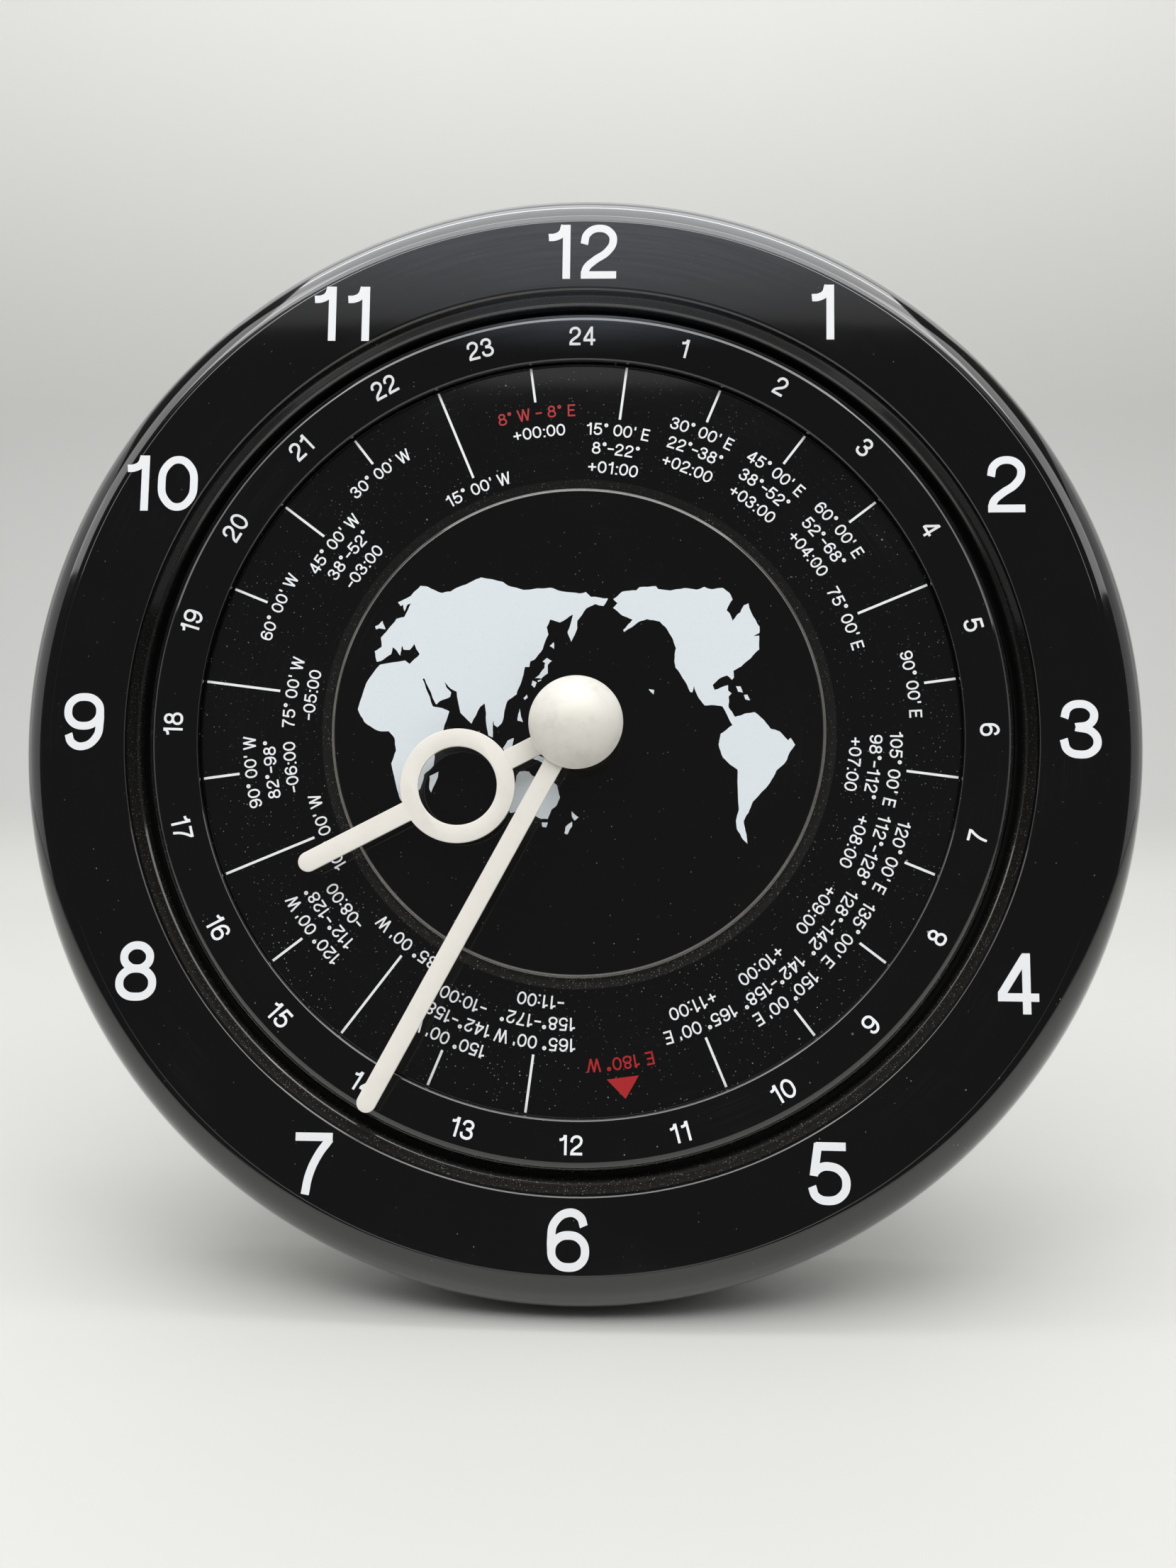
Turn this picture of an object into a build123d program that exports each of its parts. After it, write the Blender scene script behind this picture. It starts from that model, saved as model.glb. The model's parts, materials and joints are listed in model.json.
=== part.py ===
"""World time clock: an open-faced black table clock with a turning zone disc.

The face is built on a plane that leans back. On that plane x runs to the right, y runs up
towards the twelve, and heights run forward from the front of the hour ring.
"""

from math import acos, asin, cos, hypot, pi, radians, sin, tan
import os

from build123d import *

os.makedirs("parts", exist_ok=True)

# Stance, in millimetres and degrees
face_lean = 12.0
floor_gap = 0.4

# Front frame, from its outer edge inwards
rim_radius = 114.0
rim_roll_width = 7.0
rim_roll_depth = 7.0
hour_ring_width = 14.9
hour_ring_fall = 0.3
inner_slope_width = 1.4
inner_slope_fall = 1.2
inner_edge_width = 1.2
inner_edge_fall = 0.8
groove_width = 1.3
frame_wall = 2.4
skirt_depth = 24.0
skirt_taper = 2.0

# Twenty-four hour ring
day_ring_outer_bevel = 1.4
day_ring_outer_fall = 2.0
day_ring_small_bevel = 1.6
day_ring_small_fall = 1.0
day_ring_face_width = 5.7
day_ring_face_fall = 1.3
day_ring_drop = 1.0
day_ring_lip = 1.7
day_ring_lip_edge = 0.5
day_ring_skirt = 2.0

# Dial pan behind the zone disc
pan_floor = 2.2
pan_wall = 5.6
pan_flange = 17.0
pan_gap = 1.3
ring_seat_gap = 0.3

# Zone disc and map disc
zone_disc_face = -4.6
zone_disc_thickness = 1.5
zone_disc_cover = 1.4
zone_disc_rim_gap = 1.2
zone_boss_wall = 2.5
zone_boss_depth = 0.8
lip_gap = 0.4
map_disc_radius = 50.4
map_disc_thickness = 1.0
map_disc_bevel = 0.6
map_disc_gap = 0.4

# Centre stack, from the middle outwards
minute_arbor_radius = 1.2
hour_tube_wall = 0.95
bushing_wall = 2.25
bushing_thread_radius = 3.6
bushing_proud = 0.2
day_tube_wall = 1.45
running_gap = 0.05
passing_gap = 0.25
washer_radius = 6.4
washer_thickness = 0.4
nut_across_flats = 9.5
nut_thickness = 2.0

# Hands
hand_thickness = 0.8
hour_hand_height = 0.4
hour_hand_length = 62.0
hour_hand_width = 4.0
hour_hand_ring_place = 26.7
hour_hand_ring_outer = 11.5
hour_hand_ring_inner = 7.9
hour_hand_angle = 242.2
hour_collar_radius = 4.4
hour_collar_depth = 0.6
minute_hand_height = 3.4
minute_hand_length = 86.0
minute_hand_width = 3.8
minute_hand_angle = 207.9
minute_collar_radius = 4.0
minute_collar_depth = 0.9
hub_radius = 9.35
hub_rise = 6.0
hub_wall = 1.2
hub_socket_wall = 1.2
hub_gap = 0.4

# Movement plates and case
movement_width = 56.0
movement_above = 28.0
movement_below = 32.0
movement_corner = 4.0
movement_wall = 1.5
front_plate = 1.6
middle_plate = 1.6
train_plate = 1.2
wheel_gap = 0.6
rear_wall = 1.6
rear_room = 2.4
post_radius = 2.6
post_inset = 4.7
ledge_gap = 0.1

# Motion wheels: the minute wheel stands beside the centre
motion_distance = 15.0
motion_angle = 45.0
cannon_teeth = 12
minute_wheel_teeth = 36
minute_pinion_teeth = 10
hour_wheel_teeth = 40
day_pinion_teeth = 8
day_wheel_teeth = 64
day_wheel_thickness = 1.2
motion_wheel_thickness = 1.0
pinion_overlap = 0.15

# Going train
train_wheel_thickness = 0.8
train_arbor_radius = 0.5
centre_wheel_teeth = 60
train_pinion_teeth = 8
third_wheel_teeth = 64
seconds_wheel_teeth = 40
fifth_wheel_teeth = 48
coarse_module = 0.3
fine_module = 0.25
third_direction = 180.0
seconds_direction = 120.0
fifth_direction = 60.0
rotor_direction = 0.0
clutch_radius = 2.6
clutch_thickness = 0.3
pivot_radius = 0.3
pivot_depth = 0.8

# Tooth form, in modules
pressure_angle = 20.0
pinion_addendum = 0.9
wheel_addendum = 0.7
tooth_dedendum = 1.2
tooth_backlash = 0.3

# Stepping motor and circuit
magnet_radius = 2.8
magnet_height = 2.0
stator_gap = 0.5
stator_lobe = 1.7
stator_thickness = 1.0
stator_arm = 3.0
stator_right_reach = 21.5
stator_left_reach = 1.9
coil_length = 19.0
coil_wire_depth = 1.0
coil_core_wall = 0.4
coil_flange = 0.8
coil_flange_proud = 0.1
coil_wall_gap = 1.0
board_width = 16.0
board_height = 18.0
board_thickness = 1.0
board_left = 4.0
board_top = 6.0
chip_radius = 3.2
chip_rise = 1.3
crystal_radius = 1.0
crystal_length = 6.0
crystal_drop = 6.0
crystal_inset = 3.0

# Dry cell, standard AA size, and its contacts
cell_radius = 7.25
cell_body_length = 49.2
cell_nub_radius = 2.75
cell_nub_length = 1.3
cell_gap = 0.15
contact_thickness = 0.4
contact_width = 9.0
contact_spring_rise = 1.0

# Setting knob
setting_arbor_radius = 1.2
knob_radius = 6.5
knob_thickness = 3.0
knob_ribs = 24
knob_rib_depth = 0.4
knob_gap = 0.3

# Rear cover
cover_wall = 2.0
cover_back_margin = 2.2
cover_clearance = 0.3
cover_lap = 3.0
cover_lip = 1.5
cover_depth = 10.0
window_gap = 2.0
window_corner = 3.0
keyhole_height = 74.0
keyhole_radius = 4.0
keyhole_slot_radius = 2.0
keyhole_slot_length = 9.0

# Fasteners
case_screw_radius = 1.4
case_screw_head = 2.8
case_screw_bite = 3.0
case_boss_radius = 3.6
case_boss_sink = 0.5
screw_hole_gap = 0.2
movement_screw_radius = 1.0
movement_screw_head = 2.0
movement_screw_bite = 6.0
pan_screw_head_height = 1.4
screw_count = 4

# Stand leg
leg_angle = 22.0
leg_width = 46.0
leg_flare = 5.0
leg_thickness = 3.0
leg_panel_margin = 9.0
leg_panel_corner = 4.0
leg_panel_depth = 1.0
leg_pad_thickness = 1.2
hinge_height = -44.0
hinge_offset = 3.4
hinge_pin_radius = 1.5
hinge_knuckle_radius = 3.1
hinge_side_gap = 0.3
ear_thickness = 4.0
ear_half_height = 4.0
heel_height = 6.0
heel_thickness = 2.4
heel_gap = 0.25

# Front feet
foot_spread = 15.0
foot_radius = 4.2
foot_depth = -18.5
foot_height = 8.0

# Radii worked out from the frame's edge inwards
hour_ring_outer = rim_radius - rim_roll_width
hour_ring_inner = hour_ring_outer - hour_ring_width
slope_inner = hour_ring_inner - inner_slope_width
groove_outer = slope_inner - inner_edge_width
day_ring_outer = groove_outer - groove_width
day_bevel_inner = day_ring_outer - day_ring_outer_bevel
day_face_outer = day_bevel_inner - day_ring_small_bevel
day_face_inner = day_face_outer - day_ring_face_width
lip_inner = day_face_inner - day_ring_lip
zone_disc_radius = lip_inner + zone_disc_cover
pan_inner = zone_disc_radius + zone_disc_rim_gap
pan_outer = pan_inner + pan_wall
skirt_rear_radius = rim_radius - skirt_taper
case_screw_circle = groove_outer + frame_wall + case_boss_radius - case_boss_sink
cover_back_radius = case_screw_circle + case_screw_head + cover_back_margin

# Heights worked out from the hour ring backwards
roll_height = -hour_ring_fall - rim_roll_depth
lip_bottom = zone_disc_face + lip_gap
zone_disc_back = zone_disc_face - zone_disc_thickness
pan_front = zone_disc_back - pan_gap
pan_back = pan_front - pan_floor
ring_seat = lip_bottom - ring_seat_gap
map_disc_back = zone_disc_face + map_disc_gap
map_disc_face = map_disc_back + map_disc_thickness
nut_back = map_disc_face + washer_thickness
nut_front = nut_back + nut_thickness
front_plate_back = pan_back - front_plate
day_wheel_front = front_plate_back - wheel_gap
day_wheel_back = day_wheel_front - day_wheel_thickness
middle_plate_front = day_wheel_back - wheel_gap
middle_plate_back = middle_plate_front - middle_plate
hour_wheel_front = middle_plate_back - wheel_gap
hour_wheel_back = hour_wheel_front - motion_wheel_thickness
minute_wheel_front = hour_wheel_back - wheel_gap
minute_wheel_back = minute_wheel_front - motion_wheel_thickness
train_plate_front = minute_wheel_back - wheel_gap
train_plate_back = train_plate_front - train_plate
centre_wheel_back = train_plate_back - wheel_gap - train_wheel_thickness
third_wheel_back = centre_wheel_back - wheel_gap - train_wheel_thickness
fifth_wheel_back = third_wheel_back - wheel_gap - train_wheel_thickness
magnet_back = fifth_wheel_back - wheel_gap - magnet_height
rear_wall_front = magnet_back - rear_room
movement_back = rear_wall_front - rear_wall
cover_back = -skirt_depth - cover_depth
cover_inside = cover_back + cover_wall

# Centre stack radii
hour_tube_bore = minute_arbor_radius + running_gap
hour_tube_radius = hour_tube_bore + hour_tube_wall
bushing_bore = hour_tube_radius + running_gap
bushing_radius = bushing_bore + bushing_wall
day_tube_bore = bushing_radius + running_gap
day_tube_radius = day_tube_bore + day_tube_wall

# Wheel sizes and places on the face
motion_module = 2 * motion_distance / (cannon_teeth + minute_wheel_teeth)
hour_module = 2 * motion_distance / (minute_pinion_teeth + hour_wheel_teeth)
day_module = 2 * motion_distance / (day_pinion_teeth + day_wheel_teeth)


def beside(start, direction, distance):
    """The point of the face at this distance from another, in a direction from the right."""
    turn = radians(direction)
    return (start[0] + distance * cos(turn), start[1] + distance * sin(turn))


centre = (0.0, 0.0)
motion_place = beside(centre, motion_angle, motion_distance)
third_place = beside(
    centre, third_direction, (train_pinion_teeth + centre_wheel_teeth) * coarse_module / 2
)
seconds_place = beside(
    third_place, seconds_direction, (train_pinion_teeth + third_wheel_teeth) * fine_module / 2
)
fifth_place = beside(
    seconds_place, fifth_direction, (train_pinion_teeth + seconds_wheel_teeth) * coarse_module / 2
)
rotor_place = beside(
    fifth_place, rotor_direction, (train_pinion_teeth + fifth_wheel_teeth) * fine_module / 2
)

# The leaning face: its centre stands so that the frame just clears the floor
lean_sin = sin(radians(face_lean))
lean_cos = cos(radians(face_lean))
face_height = skirt_rear_radius * lean_cos + skirt_depth * lean_sin + floor_gap
hinge_depth = cover_back - hinge_offset
hinge_floor_height = face_height + hinge_height * lean_cos + hinge_depth * lean_sin
leg_sweep = hinge_floor_height * tan(radians(leg_angle))
leg_pad_reach = leg_thickness / 2 / cos(radians(leg_angle))
front_reach = hour_ring_outer * lean_sin + roll_height * lean_cos + hypot(
    rim_roll_width * lean_sin, rim_roll_depth * lean_cos
)
leg_back = hinge_height * lean_sin - hinge_depth * lean_cos + leg_sweep + leg_pad_reach
cover_top_back = cover_back_radius * lean_sin - cover_back * lean_cos
rear_reach = max(leg_back, cover_top_back)
face_place = (front_reach - rear_reach) / 2
face = Plane(
    origin=(0, face_place, face_height), x_dir=(1, 0, 0), z_dir=(0, -lean_cos, lean_sin)
)
face_axis = Axis(face.origin, face.z_dir)
profile = Plane(origin=face.origin, x_dir=face.x_dir, z_dir=-face.y_dir)


def level(height, place=centre, turn=0.0):
    """A plane parallel to the face, at a height and a place on it, turned clockwise."""
    spot = face.from_local_coords((place[0], place[1], height))
    right = face.x_dir * cos(radians(turn)) - face.y_dir * sin(radians(turn))
    return Plane(origin=spot, x_dir=right, z_dir=face.z_dir)


def behind(height, place):
    """A plane parallel to the face that looks out of the back."""
    spot = face.from_local_coords((place[0], place[1], height))
    return Plane(origin=spot, x_dir=face.x_dir, z_dir=-face.z_dir)


def sideways(x, y, height):
    """A plane square to the face's left-to-right line, for pieces that lie along it."""
    return Plane(
        origin=face.from_local_coords((x, y, height)), x_dir=face.y_dir, z_dir=face.x_dir
    )


def save(piece, name):
    """Label a finished piece and write it under its name."""
    piece.part.label = name
    export_step(piece.part, f"parts/{name}.step")


def tooth_points(teeth, module, addendum, phase):
    """The outline of an involute wheel, four points up each flank, around its own centre."""
    pitch = teeth * module / 2
    base = pitch * cos(radians(pressure_angle))
    tip = pitch + addendum * module
    root = pitch - tooth_dedendum * module
    start = max(base, root)
    pitch_roll = tan(radians(pressure_angle)) - radians(pressure_angle)
    half_pitch = pi / (2 * teeth) - tooth_backlash * module / (2 * pitch)

    def half_width(radius):
        slant = acos(min(1.0, base / radius))
        return half_pitch + pitch_roll - (tan(slant) - slant)

    flank = [root, start, (start + tip) / 2, tip] if start > root else [root, (root + tip) / 2, tip]
    points = []
    for tooth in range(teeth):
        middle = phase + 2 * pi * tooth / teeth
        rising = [(radius, middle - half_width(max(radius, start))) for radius in flank]
        falling = [(radius, middle + half_width(max(radius, start))) for radius in reversed(flank)]
        points += [(radius * cos(angle), radius * sin(angle)) for radius, angle in rising + falling]
    return points


def toothed(height, thickness, place, teeth, module, addendum, phase):
    """Add one toothed disc to the piece being made."""
    with BuildSketch(level(height, place)) as outline:
        with BuildLine():
            Polyline(*tooth_points(teeth, module, addendum, phase), close=True)
        make_face()
    extrude(outline.sketch, amount=thickness)


def round_bar(height, length, radius, place=centre, mode=Mode.ADD):
    """Add a round bar, or take away a round hole, standing on the face."""
    with BuildSketch(level(height, place)) as outline:
        Circle(radius)
    extrude(outline.sketch, amount=length, mode=mode)


def turned(points):
    """Turn a closed outline of (radius, height) points about the centre of the face."""
    with BuildSketch(profile) as outline:
        with BuildLine():
            Polyline(*points, close=True)
        make_face()
    revolve(outline.sketch, axis=face_axis)


def dome_arc(radius, base, rise):
    """Draw half of a round cap's outline, from its edge to its top on the axis."""
    ball = (radius**2 + rise**2) / (2 * rise)
    half_way = asin(radius / ball) / 2
    ThreePointArc(
        (radius, base),
        (ball * sin(half_way), base + rise - ball + ball * cos(half_way)),
        (0, base + rise),
    )


# Front frame: hour ring, rolled rim and skirt
case_screw_angles = [45 + 360 / screw_count * turn for turn in range(screw_count)]
pan_screw_angles = [360 / screw_count * turn for turn in range(screw_count)]
boss_front = -frame_wall - hour_ring_fall
with BuildPart() as front_frame:
    with BuildSketch(profile):
        with BuildLine():
            Polyline(
                (groove_outer, pan_front),
                (groove_outer, -inner_slope_fall - inner_edge_fall),
                (slope_inner, -inner_slope_fall),
                (hour_ring_inner, 0),
                (hour_ring_outer, -hour_ring_fall),
            )
            EllipticalCenterArc((hour_ring_outer, roll_height), rim_roll_width, rim_roll_depth)
            Polyline(
                (rim_radius, roll_height),
                (skirt_rear_radius, -skirt_depth),
                (skirt_rear_radius - frame_wall, -skirt_depth),
                (rim_radius - frame_wall, roll_height),
            )
            EllipticalCenterArc(
                (hour_ring_outer, roll_height), rim_roll_width - frame_wall, rim_roll_depth - frame_wall
            )
            Polyline(
                (hour_ring_outer, -hour_ring_fall - frame_wall),
                (groove_outer + frame_wall, -frame_wall),
                (groove_outer + frame_wall, pan_front),
                (groove_outer, pan_front),
            )
        make_face()
    revolve(axis=face_axis)
    for angle in case_screw_angles + pan_screw_angles:
        boss_place = beside(centre, angle, case_screw_circle)
        round_bar(pan_front, boss_front + frame_wall / 2 - pan_front, case_boss_radius, boss_place)
        round_bar(pan_front, case_screw_bite, case_screw_radius, boss_place, Mode.SUBTRACT)
save(front_frame, "front_frame")

# Twenty-four hour ring, with the lip that covers the edge of the zone disc
ring_small_edge = -day_ring_drop - day_ring_small_fall
with BuildPart() as day_ring:
    turned(
        [
            (lip_inner, lip_bottom),
            (lip_inner, lip_bottom + day_ring_lip_edge),
            (day_face_inner, -day_ring_drop - day_ring_face_fall),
            (day_face_outer, -day_ring_drop),
            (day_bevel_inner, ring_small_edge),
            (day_ring_outer, ring_small_edge - day_ring_outer_fall),
            (day_ring_outer, ring_seat - day_ring_skirt),
            (pan_outer + ring_seat_gap, ring_seat - day_ring_skirt),
            (pan_outer + ring_seat_gap, ring_seat),
            (pan_inner, ring_seat),
            (pan_inner, lip_bottom),
        ]
    )
save(day_ring, "day_ring")

# Movement post places, shared by the plates, the case and the screws
post_x = movement_width / 2 - post_inset
post_top = movement_above - post_inset
bay_inner = movement_wall + cell_gap
cell_y = -movement_below + bay_inner + cell_radius
partition_low = cell_y + cell_radius + cell_gap
partition_high = partition_low + movement_wall
post_low = partition_high + post_radius
post_places = [
    (post_x, post_top), (-post_x, post_top), (post_x, post_low), (-post_x, post_low)
]
head_depth = movement_screw_head - movement_screw_radius

# Dial pan: the floor behind the zone disc and the flange under the frame
with BuildPart() as dial_pan:
    turned(
        [
            (day_tube_radius + passing_gap, pan_front),
            (pan_inner, pan_front),
            (pan_inner, ring_seat),
            (pan_outer, ring_seat),
            (pan_outer, pan_front),
            (pan_outer + pan_flange, pan_front),
            (pan_outer + pan_flange, pan_back),
            (day_tube_radius + passing_gap, pan_back),
        ]
    )
    for place in post_places:
        with Locations(level(pan_front, place)):
            CounterSinkHole(
                movement_screw_radius + screw_hole_gap, movement_screw_head + screw_hole_gap
            )
    for angle in case_screw_angles + pan_screw_angles:
        screw_place = beside(centre, angle, case_screw_circle)
        round_bar(
            pan_back, pan_front - pan_back, case_screw_radius + screw_hole_gap, screw_place,
            Mode.SUBTRACT,
        )
save(dial_pan, "dial_pan")

# Pan screws, driven from behind into the frame
with BuildPart() as pan_screws:
    for angle in pan_screw_angles:
        screw_place = beside(centre, angle, case_screw_circle)
        round_bar(
            pan_back, pan_front - pan_back + case_screw_bite, case_screw_radius, screw_place
        )
        round_bar(
            pan_back - pan_screw_head_height, pan_screw_head_height, case_screw_head, screw_place
        )
save(pan_screws, "pan_screws")

# Zone disc, pressed on the day tube by its boss
with BuildPart() as zone_disc:
    turned(
        [
            (day_tube_radius, zone_disc_face),
            (zone_disc_radius, zone_disc_face),
            (zone_disc_radius, zone_disc_back),
            (day_tube_radius + zone_boss_wall, zone_disc_back),
            (day_tube_radius + zone_boss_wall, zone_disc_back - zone_boss_depth),
            (day_tube_radius, zone_disc_back - zone_boss_depth),
        ]
    )
save(zone_disc, "zone_disc")

# Map disc, clamped to the centre bushing
with BuildPart() as map_disc:
    turned(
        [
            (bushing_thread_radius, map_disc_back),
            (bushing_thread_radius, map_disc_face),
            (map_disc_radius - map_disc_bevel, map_disc_face),
            (map_disc_radius, map_disc_face - map_disc_bevel),
            (map_disc_radius, map_disc_back),
        ]
    )
save(map_disc, "map_disc")

# Centre bushing, with a shoulder for the map disc and a thread for its nut
with BuildPart() as centre_bushing:
    turned(
        [
            (bushing_bore, middle_plate_back),
            (bushing_radius, middle_plate_back),
            (bushing_radius, map_disc_back),
            (bushing_thread_radius, map_disc_back),
            (bushing_thread_radius, nut_front + bushing_proud),
            (bushing_bore, nut_front + bushing_proud),
        ]
    )
save(centre_bushing, "centre_bushing")

with BuildPart() as dial_washer:
    with BuildSketch(level(map_disc_face)):
        Circle(washer_radius)
        Circle(bushing_thread_radius, mode=Mode.SUBTRACT)
    extrude(amount=washer_thickness)
save(dial_washer, "dial_washer")

with BuildPart() as dial_nut:
    with BuildSketch(level(nut_back)):
        RegularPolygon(nut_across_flats / 2, 6, major_radius=False)
        Circle(bushing_thread_radius, mode=Mode.SUBTRACT)
    extrude(amount=nut_thickness)
save(dial_nut, "dial_nut")

# Wheel phases, set along each line of centres
cannon_phase = radians(motion_angle)
minute_wheel_phase = radians(motion_angle) + pi + pi / minute_wheel_teeth
minute_pinion_phase = radians(motion_angle) + pi
hour_wheel_phase = radians(motion_angle) + pi / hour_wheel_teeth
day_wheel_phase = radians(motion_angle) + pi / day_wheel_teeth

# Day wheel and tube, which turn the zone disc once in twenty-four hours
with BuildPart() as day_wheel:
    toothed(
        day_wheel_back, day_wheel_thickness, centre, day_wheel_teeth, day_module, wheel_addendum,
        day_wheel_phase,
    )
    tube_back = day_wheel_back - wheel_gap / 2
    round_bar(tube_back, zone_disc_face - tube_back, day_tube_radius)
    round_bar(tube_back, zone_disc_face - tube_back, day_tube_bore, mode=Mode.SUBTRACT)
save(day_wheel, "day_wheel")

# Hour wheel and tube
hour_tube_front = hour_hand_height + hand_thickness + passing_gap
with BuildPart() as hour_wheel:
    toothed(
        hour_wheel_back, motion_wheel_thickness, centre, hour_wheel_teeth, hour_module,
        wheel_addendum, hour_wheel_phase,
    )
    round_bar(hour_wheel_back, hour_tube_front - hour_wheel_back, hour_tube_radius)
    round_bar(
        hour_wheel_back, hour_tube_front - hour_wheel_back, hour_tube_bore, mode=Mode.SUBTRACT
    )
save(hour_wheel, "hour_wheel")

# Hour hand: a bar with an open ring, pressed on the hour tube
with BuildPart() as hour_hand:
    with BuildSketch(level(hour_hand_height, turn=hour_hand_angle)):
        Circle(hour_collar_radius)
        with Locations((0, (hour_hand_length - hour_hand_width / 2) / 2)):
            Rectangle(hour_hand_width, hour_hand_length - hour_hand_width / 2)
        with Locations((0, hour_hand_length - hour_hand_width / 2)):
            Circle(hour_hand_width / 2)
        with Locations((0, hour_hand_ring_place)):
            Circle(hour_hand_ring_outer)
            Circle(hour_hand_ring_inner, mode=Mode.SUBTRACT)
        Circle(hour_tube_radius, mode=Mode.SUBTRACT)
    extrude(amount=hand_thickness)
    with BuildSketch(level(hour_hand_height)):
        Circle(hour_collar_radius)
        Circle(hour_tube_radius, mode=Mode.SUBTRACT)
    extrude(amount=-hour_collar_depth)
save(hour_hand, "hour_hand")

# Minute arbor, from its rear pivot to the hub, with the cannon pinion
hub_base = minute_hand_height + hand_thickness + hub_gap
hub_front = hub_base + hub_rise
arbor_front = hub_front - hub_wall - hub_gap
with BuildPart() as minute_arbor:
    round_bar(rear_wall_front, arbor_front - rear_wall_front, minute_arbor_radius)
    round_bar(rear_wall_front - pivot_depth, pivot_depth, pivot_radius)
    toothed(
        minute_wheel_back - pinion_overlap, motion_wheel_thickness + 2 * pinion_overlap, centre,
        cannon_teeth, motion_module, pinion_addendum, cannon_phase,
    )
save(minute_arbor, "minute_arbor")

# Minute hand: a plain bar with a round tip
with BuildPart() as minute_hand:
    with BuildSketch(level(minute_hand_height, turn=minute_hand_angle)):
        Circle(minute_collar_radius)
        with Locations((0, (minute_hand_length - minute_hand_width / 2) / 2)):
            Rectangle(minute_hand_width, minute_hand_length - minute_hand_width / 2)
        with Locations((0, minute_hand_length - minute_hand_width / 2)):
            Circle(minute_hand_width / 2)
        Circle(minute_arbor_radius, mode=Mode.SUBTRACT)
    extrude(amount=hand_thickness)
    with BuildSketch(level(minute_hand_height)):
        Circle(minute_collar_radius)
        Circle(minute_arbor_radius, mode=Mode.SUBTRACT)
    extrude(amount=-minute_collar_depth)
save(minute_hand, "minute_hand")

# Hub cap: a hollow dome with a socket for the arbor
with BuildPart() as hub_cap:
    with BuildSketch(profile):
        with BuildLine():
            Line((0, hub_base), (hub_radius, hub_base))
            dome_arc(hub_radius, hub_base, hub_rise)
            Line((0, hub_front), (0, hub_base))
        make_face()
        with BuildLine():
            Line((0, hub_base), (hub_radius - hub_wall, hub_base))
            dome_arc(hub_radius - hub_wall, hub_base, hub_rise - hub_wall)
            Line((0, hub_front - hub_wall), (0, hub_base))
        make_face(mode=Mode.SUBTRACT)
    revolve(axis=face_axis)
    socket_radius = minute_arbor_radius + hub_socket_wall
    round_bar(hub_base - hub_gap, hub_front - hub_wall / 2 - hub_base + hub_gap, socket_radius)
    round_bar(hub_base - hub_gap, arbor_front - hub_base + hub_gap, minute_arbor_radius, mode=Mode.SUBTRACT)
save(hub_cap, "hub_cap")

# Minute wheel beside the centre, with its two pinions and the setting arbor
knob_front = movement_back - knob_gap
knob_back = knob_front - knob_thickness
with BuildPart() as minute_wheel:
    toothed(
        minute_wheel_back, motion_wheel_thickness, motion_place, minute_wheel_teeth, motion_module,
        wheel_addendum, minute_wheel_phase,
    )
    toothed(
        minute_wheel_front - pinion_overlap,
        hour_wheel_front - minute_wheel_front + 2 * pinion_overlap,
        motion_place, minute_pinion_teeth, hour_module, pinion_addendum, minute_pinion_phase,
    )
    round_bar(
        hour_wheel_front, day_wheel_back - pinion_overlap - hour_wheel_front, train_arbor_radius,
        motion_place,
    )
    toothed(
        day_wheel_back - pinion_overlap, day_wheel_thickness + 2 * pinion_overlap, motion_place,
        day_pinion_teeth, day_module, pinion_addendum, minute_pinion_phase,
    )
    round_bar(
        day_wheel_front, front_plate_back - day_wheel_front + pivot_depth, train_arbor_radius,
        motion_place,
    )
    round_bar(knob_back, minute_wheel_back - knob_back, setting_arbor_radius, motion_place)
save(minute_wheel, "minute_wheel")

# Setting knob, pressed on the setting arbor behind the movement
with BuildPart() as setting_knob:
    with BuildSketch(level(knob_back, motion_place)):
        Circle(knob_radius)
        with PolarLocations(knob_radius, knob_ribs):
            Circle(knob_rib_depth, mode=Mode.SUBTRACT)
        Circle(setting_arbor_radius, mode=Mode.SUBTRACT)
    extrude(amount=knob_thickness)
save(setting_knob, "setting_knob")


def movement_outline(inset=0.0):
    """Draw the movement's outer shape, or the same shape drawn in by a wall."""
    with Locations((0, (movement_above - movement_below) / 2)):
        RectangleRounded(
            movement_width - 2 * inset,
            movement_above + movement_below - 2 * inset,
            movement_corner - inset,
        )


def train_outline():
    """Draw a plate that fills the movement above the cell bay."""
    inside = movement_width / 2 - movement_wall - ledge_gap
    top = movement_above - movement_wall - ledge_gap
    low = partition_high + ledge_gap
    with Locations((0, (top + low) / 2)):
        RectangleRounded(2 * inside, top - low, movement_corner - movement_wall)


def post_holes(height, length):
    """Take the screw holes away at each post."""
    for place in post_places:
        round_bar(
            height, length, movement_screw_radius + screw_hole_gap, place, Mode.SUBTRACT
        )


# Movement front plate
with BuildPart() as movement_front:
    with BuildSketch(level(front_plate_back)):
        movement_outline()
        Circle(day_tube_radius + passing_gap, mode=Mode.SUBTRACT)
    extrude(amount=front_plate)
    round_bar(
        front_plate_back, pivot_depth + passing_gap, train_arbor_radius + running_gap, motion_place,
        Mode.SUBTRACT,
    )
    post_holes(front_plate_back, front_plate)
save(movement_front, "movement_front")

# Middle plate, which carries the bushing, with posts up to the front plate
with BuildPart() as bushing_plate:
    with BuildSketch(level(middle_plate_back)):
        train_outline()
        Circle(bushing_radius, mode=Mode.SUBTRACT)
    extrude(amount=middle_plate)
    for place in post_places:
        round_bar(middle_plate_front, front_plate_back - middle_plate_front, post_radius, place)
    round_bar(
        middle_plate_back, middle_plate, train_arbor_radius + running_gap, motion_place, Mode.SUBTRACT
    )
    post_holes(middle_plate_back, front_plate_back - middle_plate_back)
save(bushing_plate, "bushing_plate")

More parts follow.
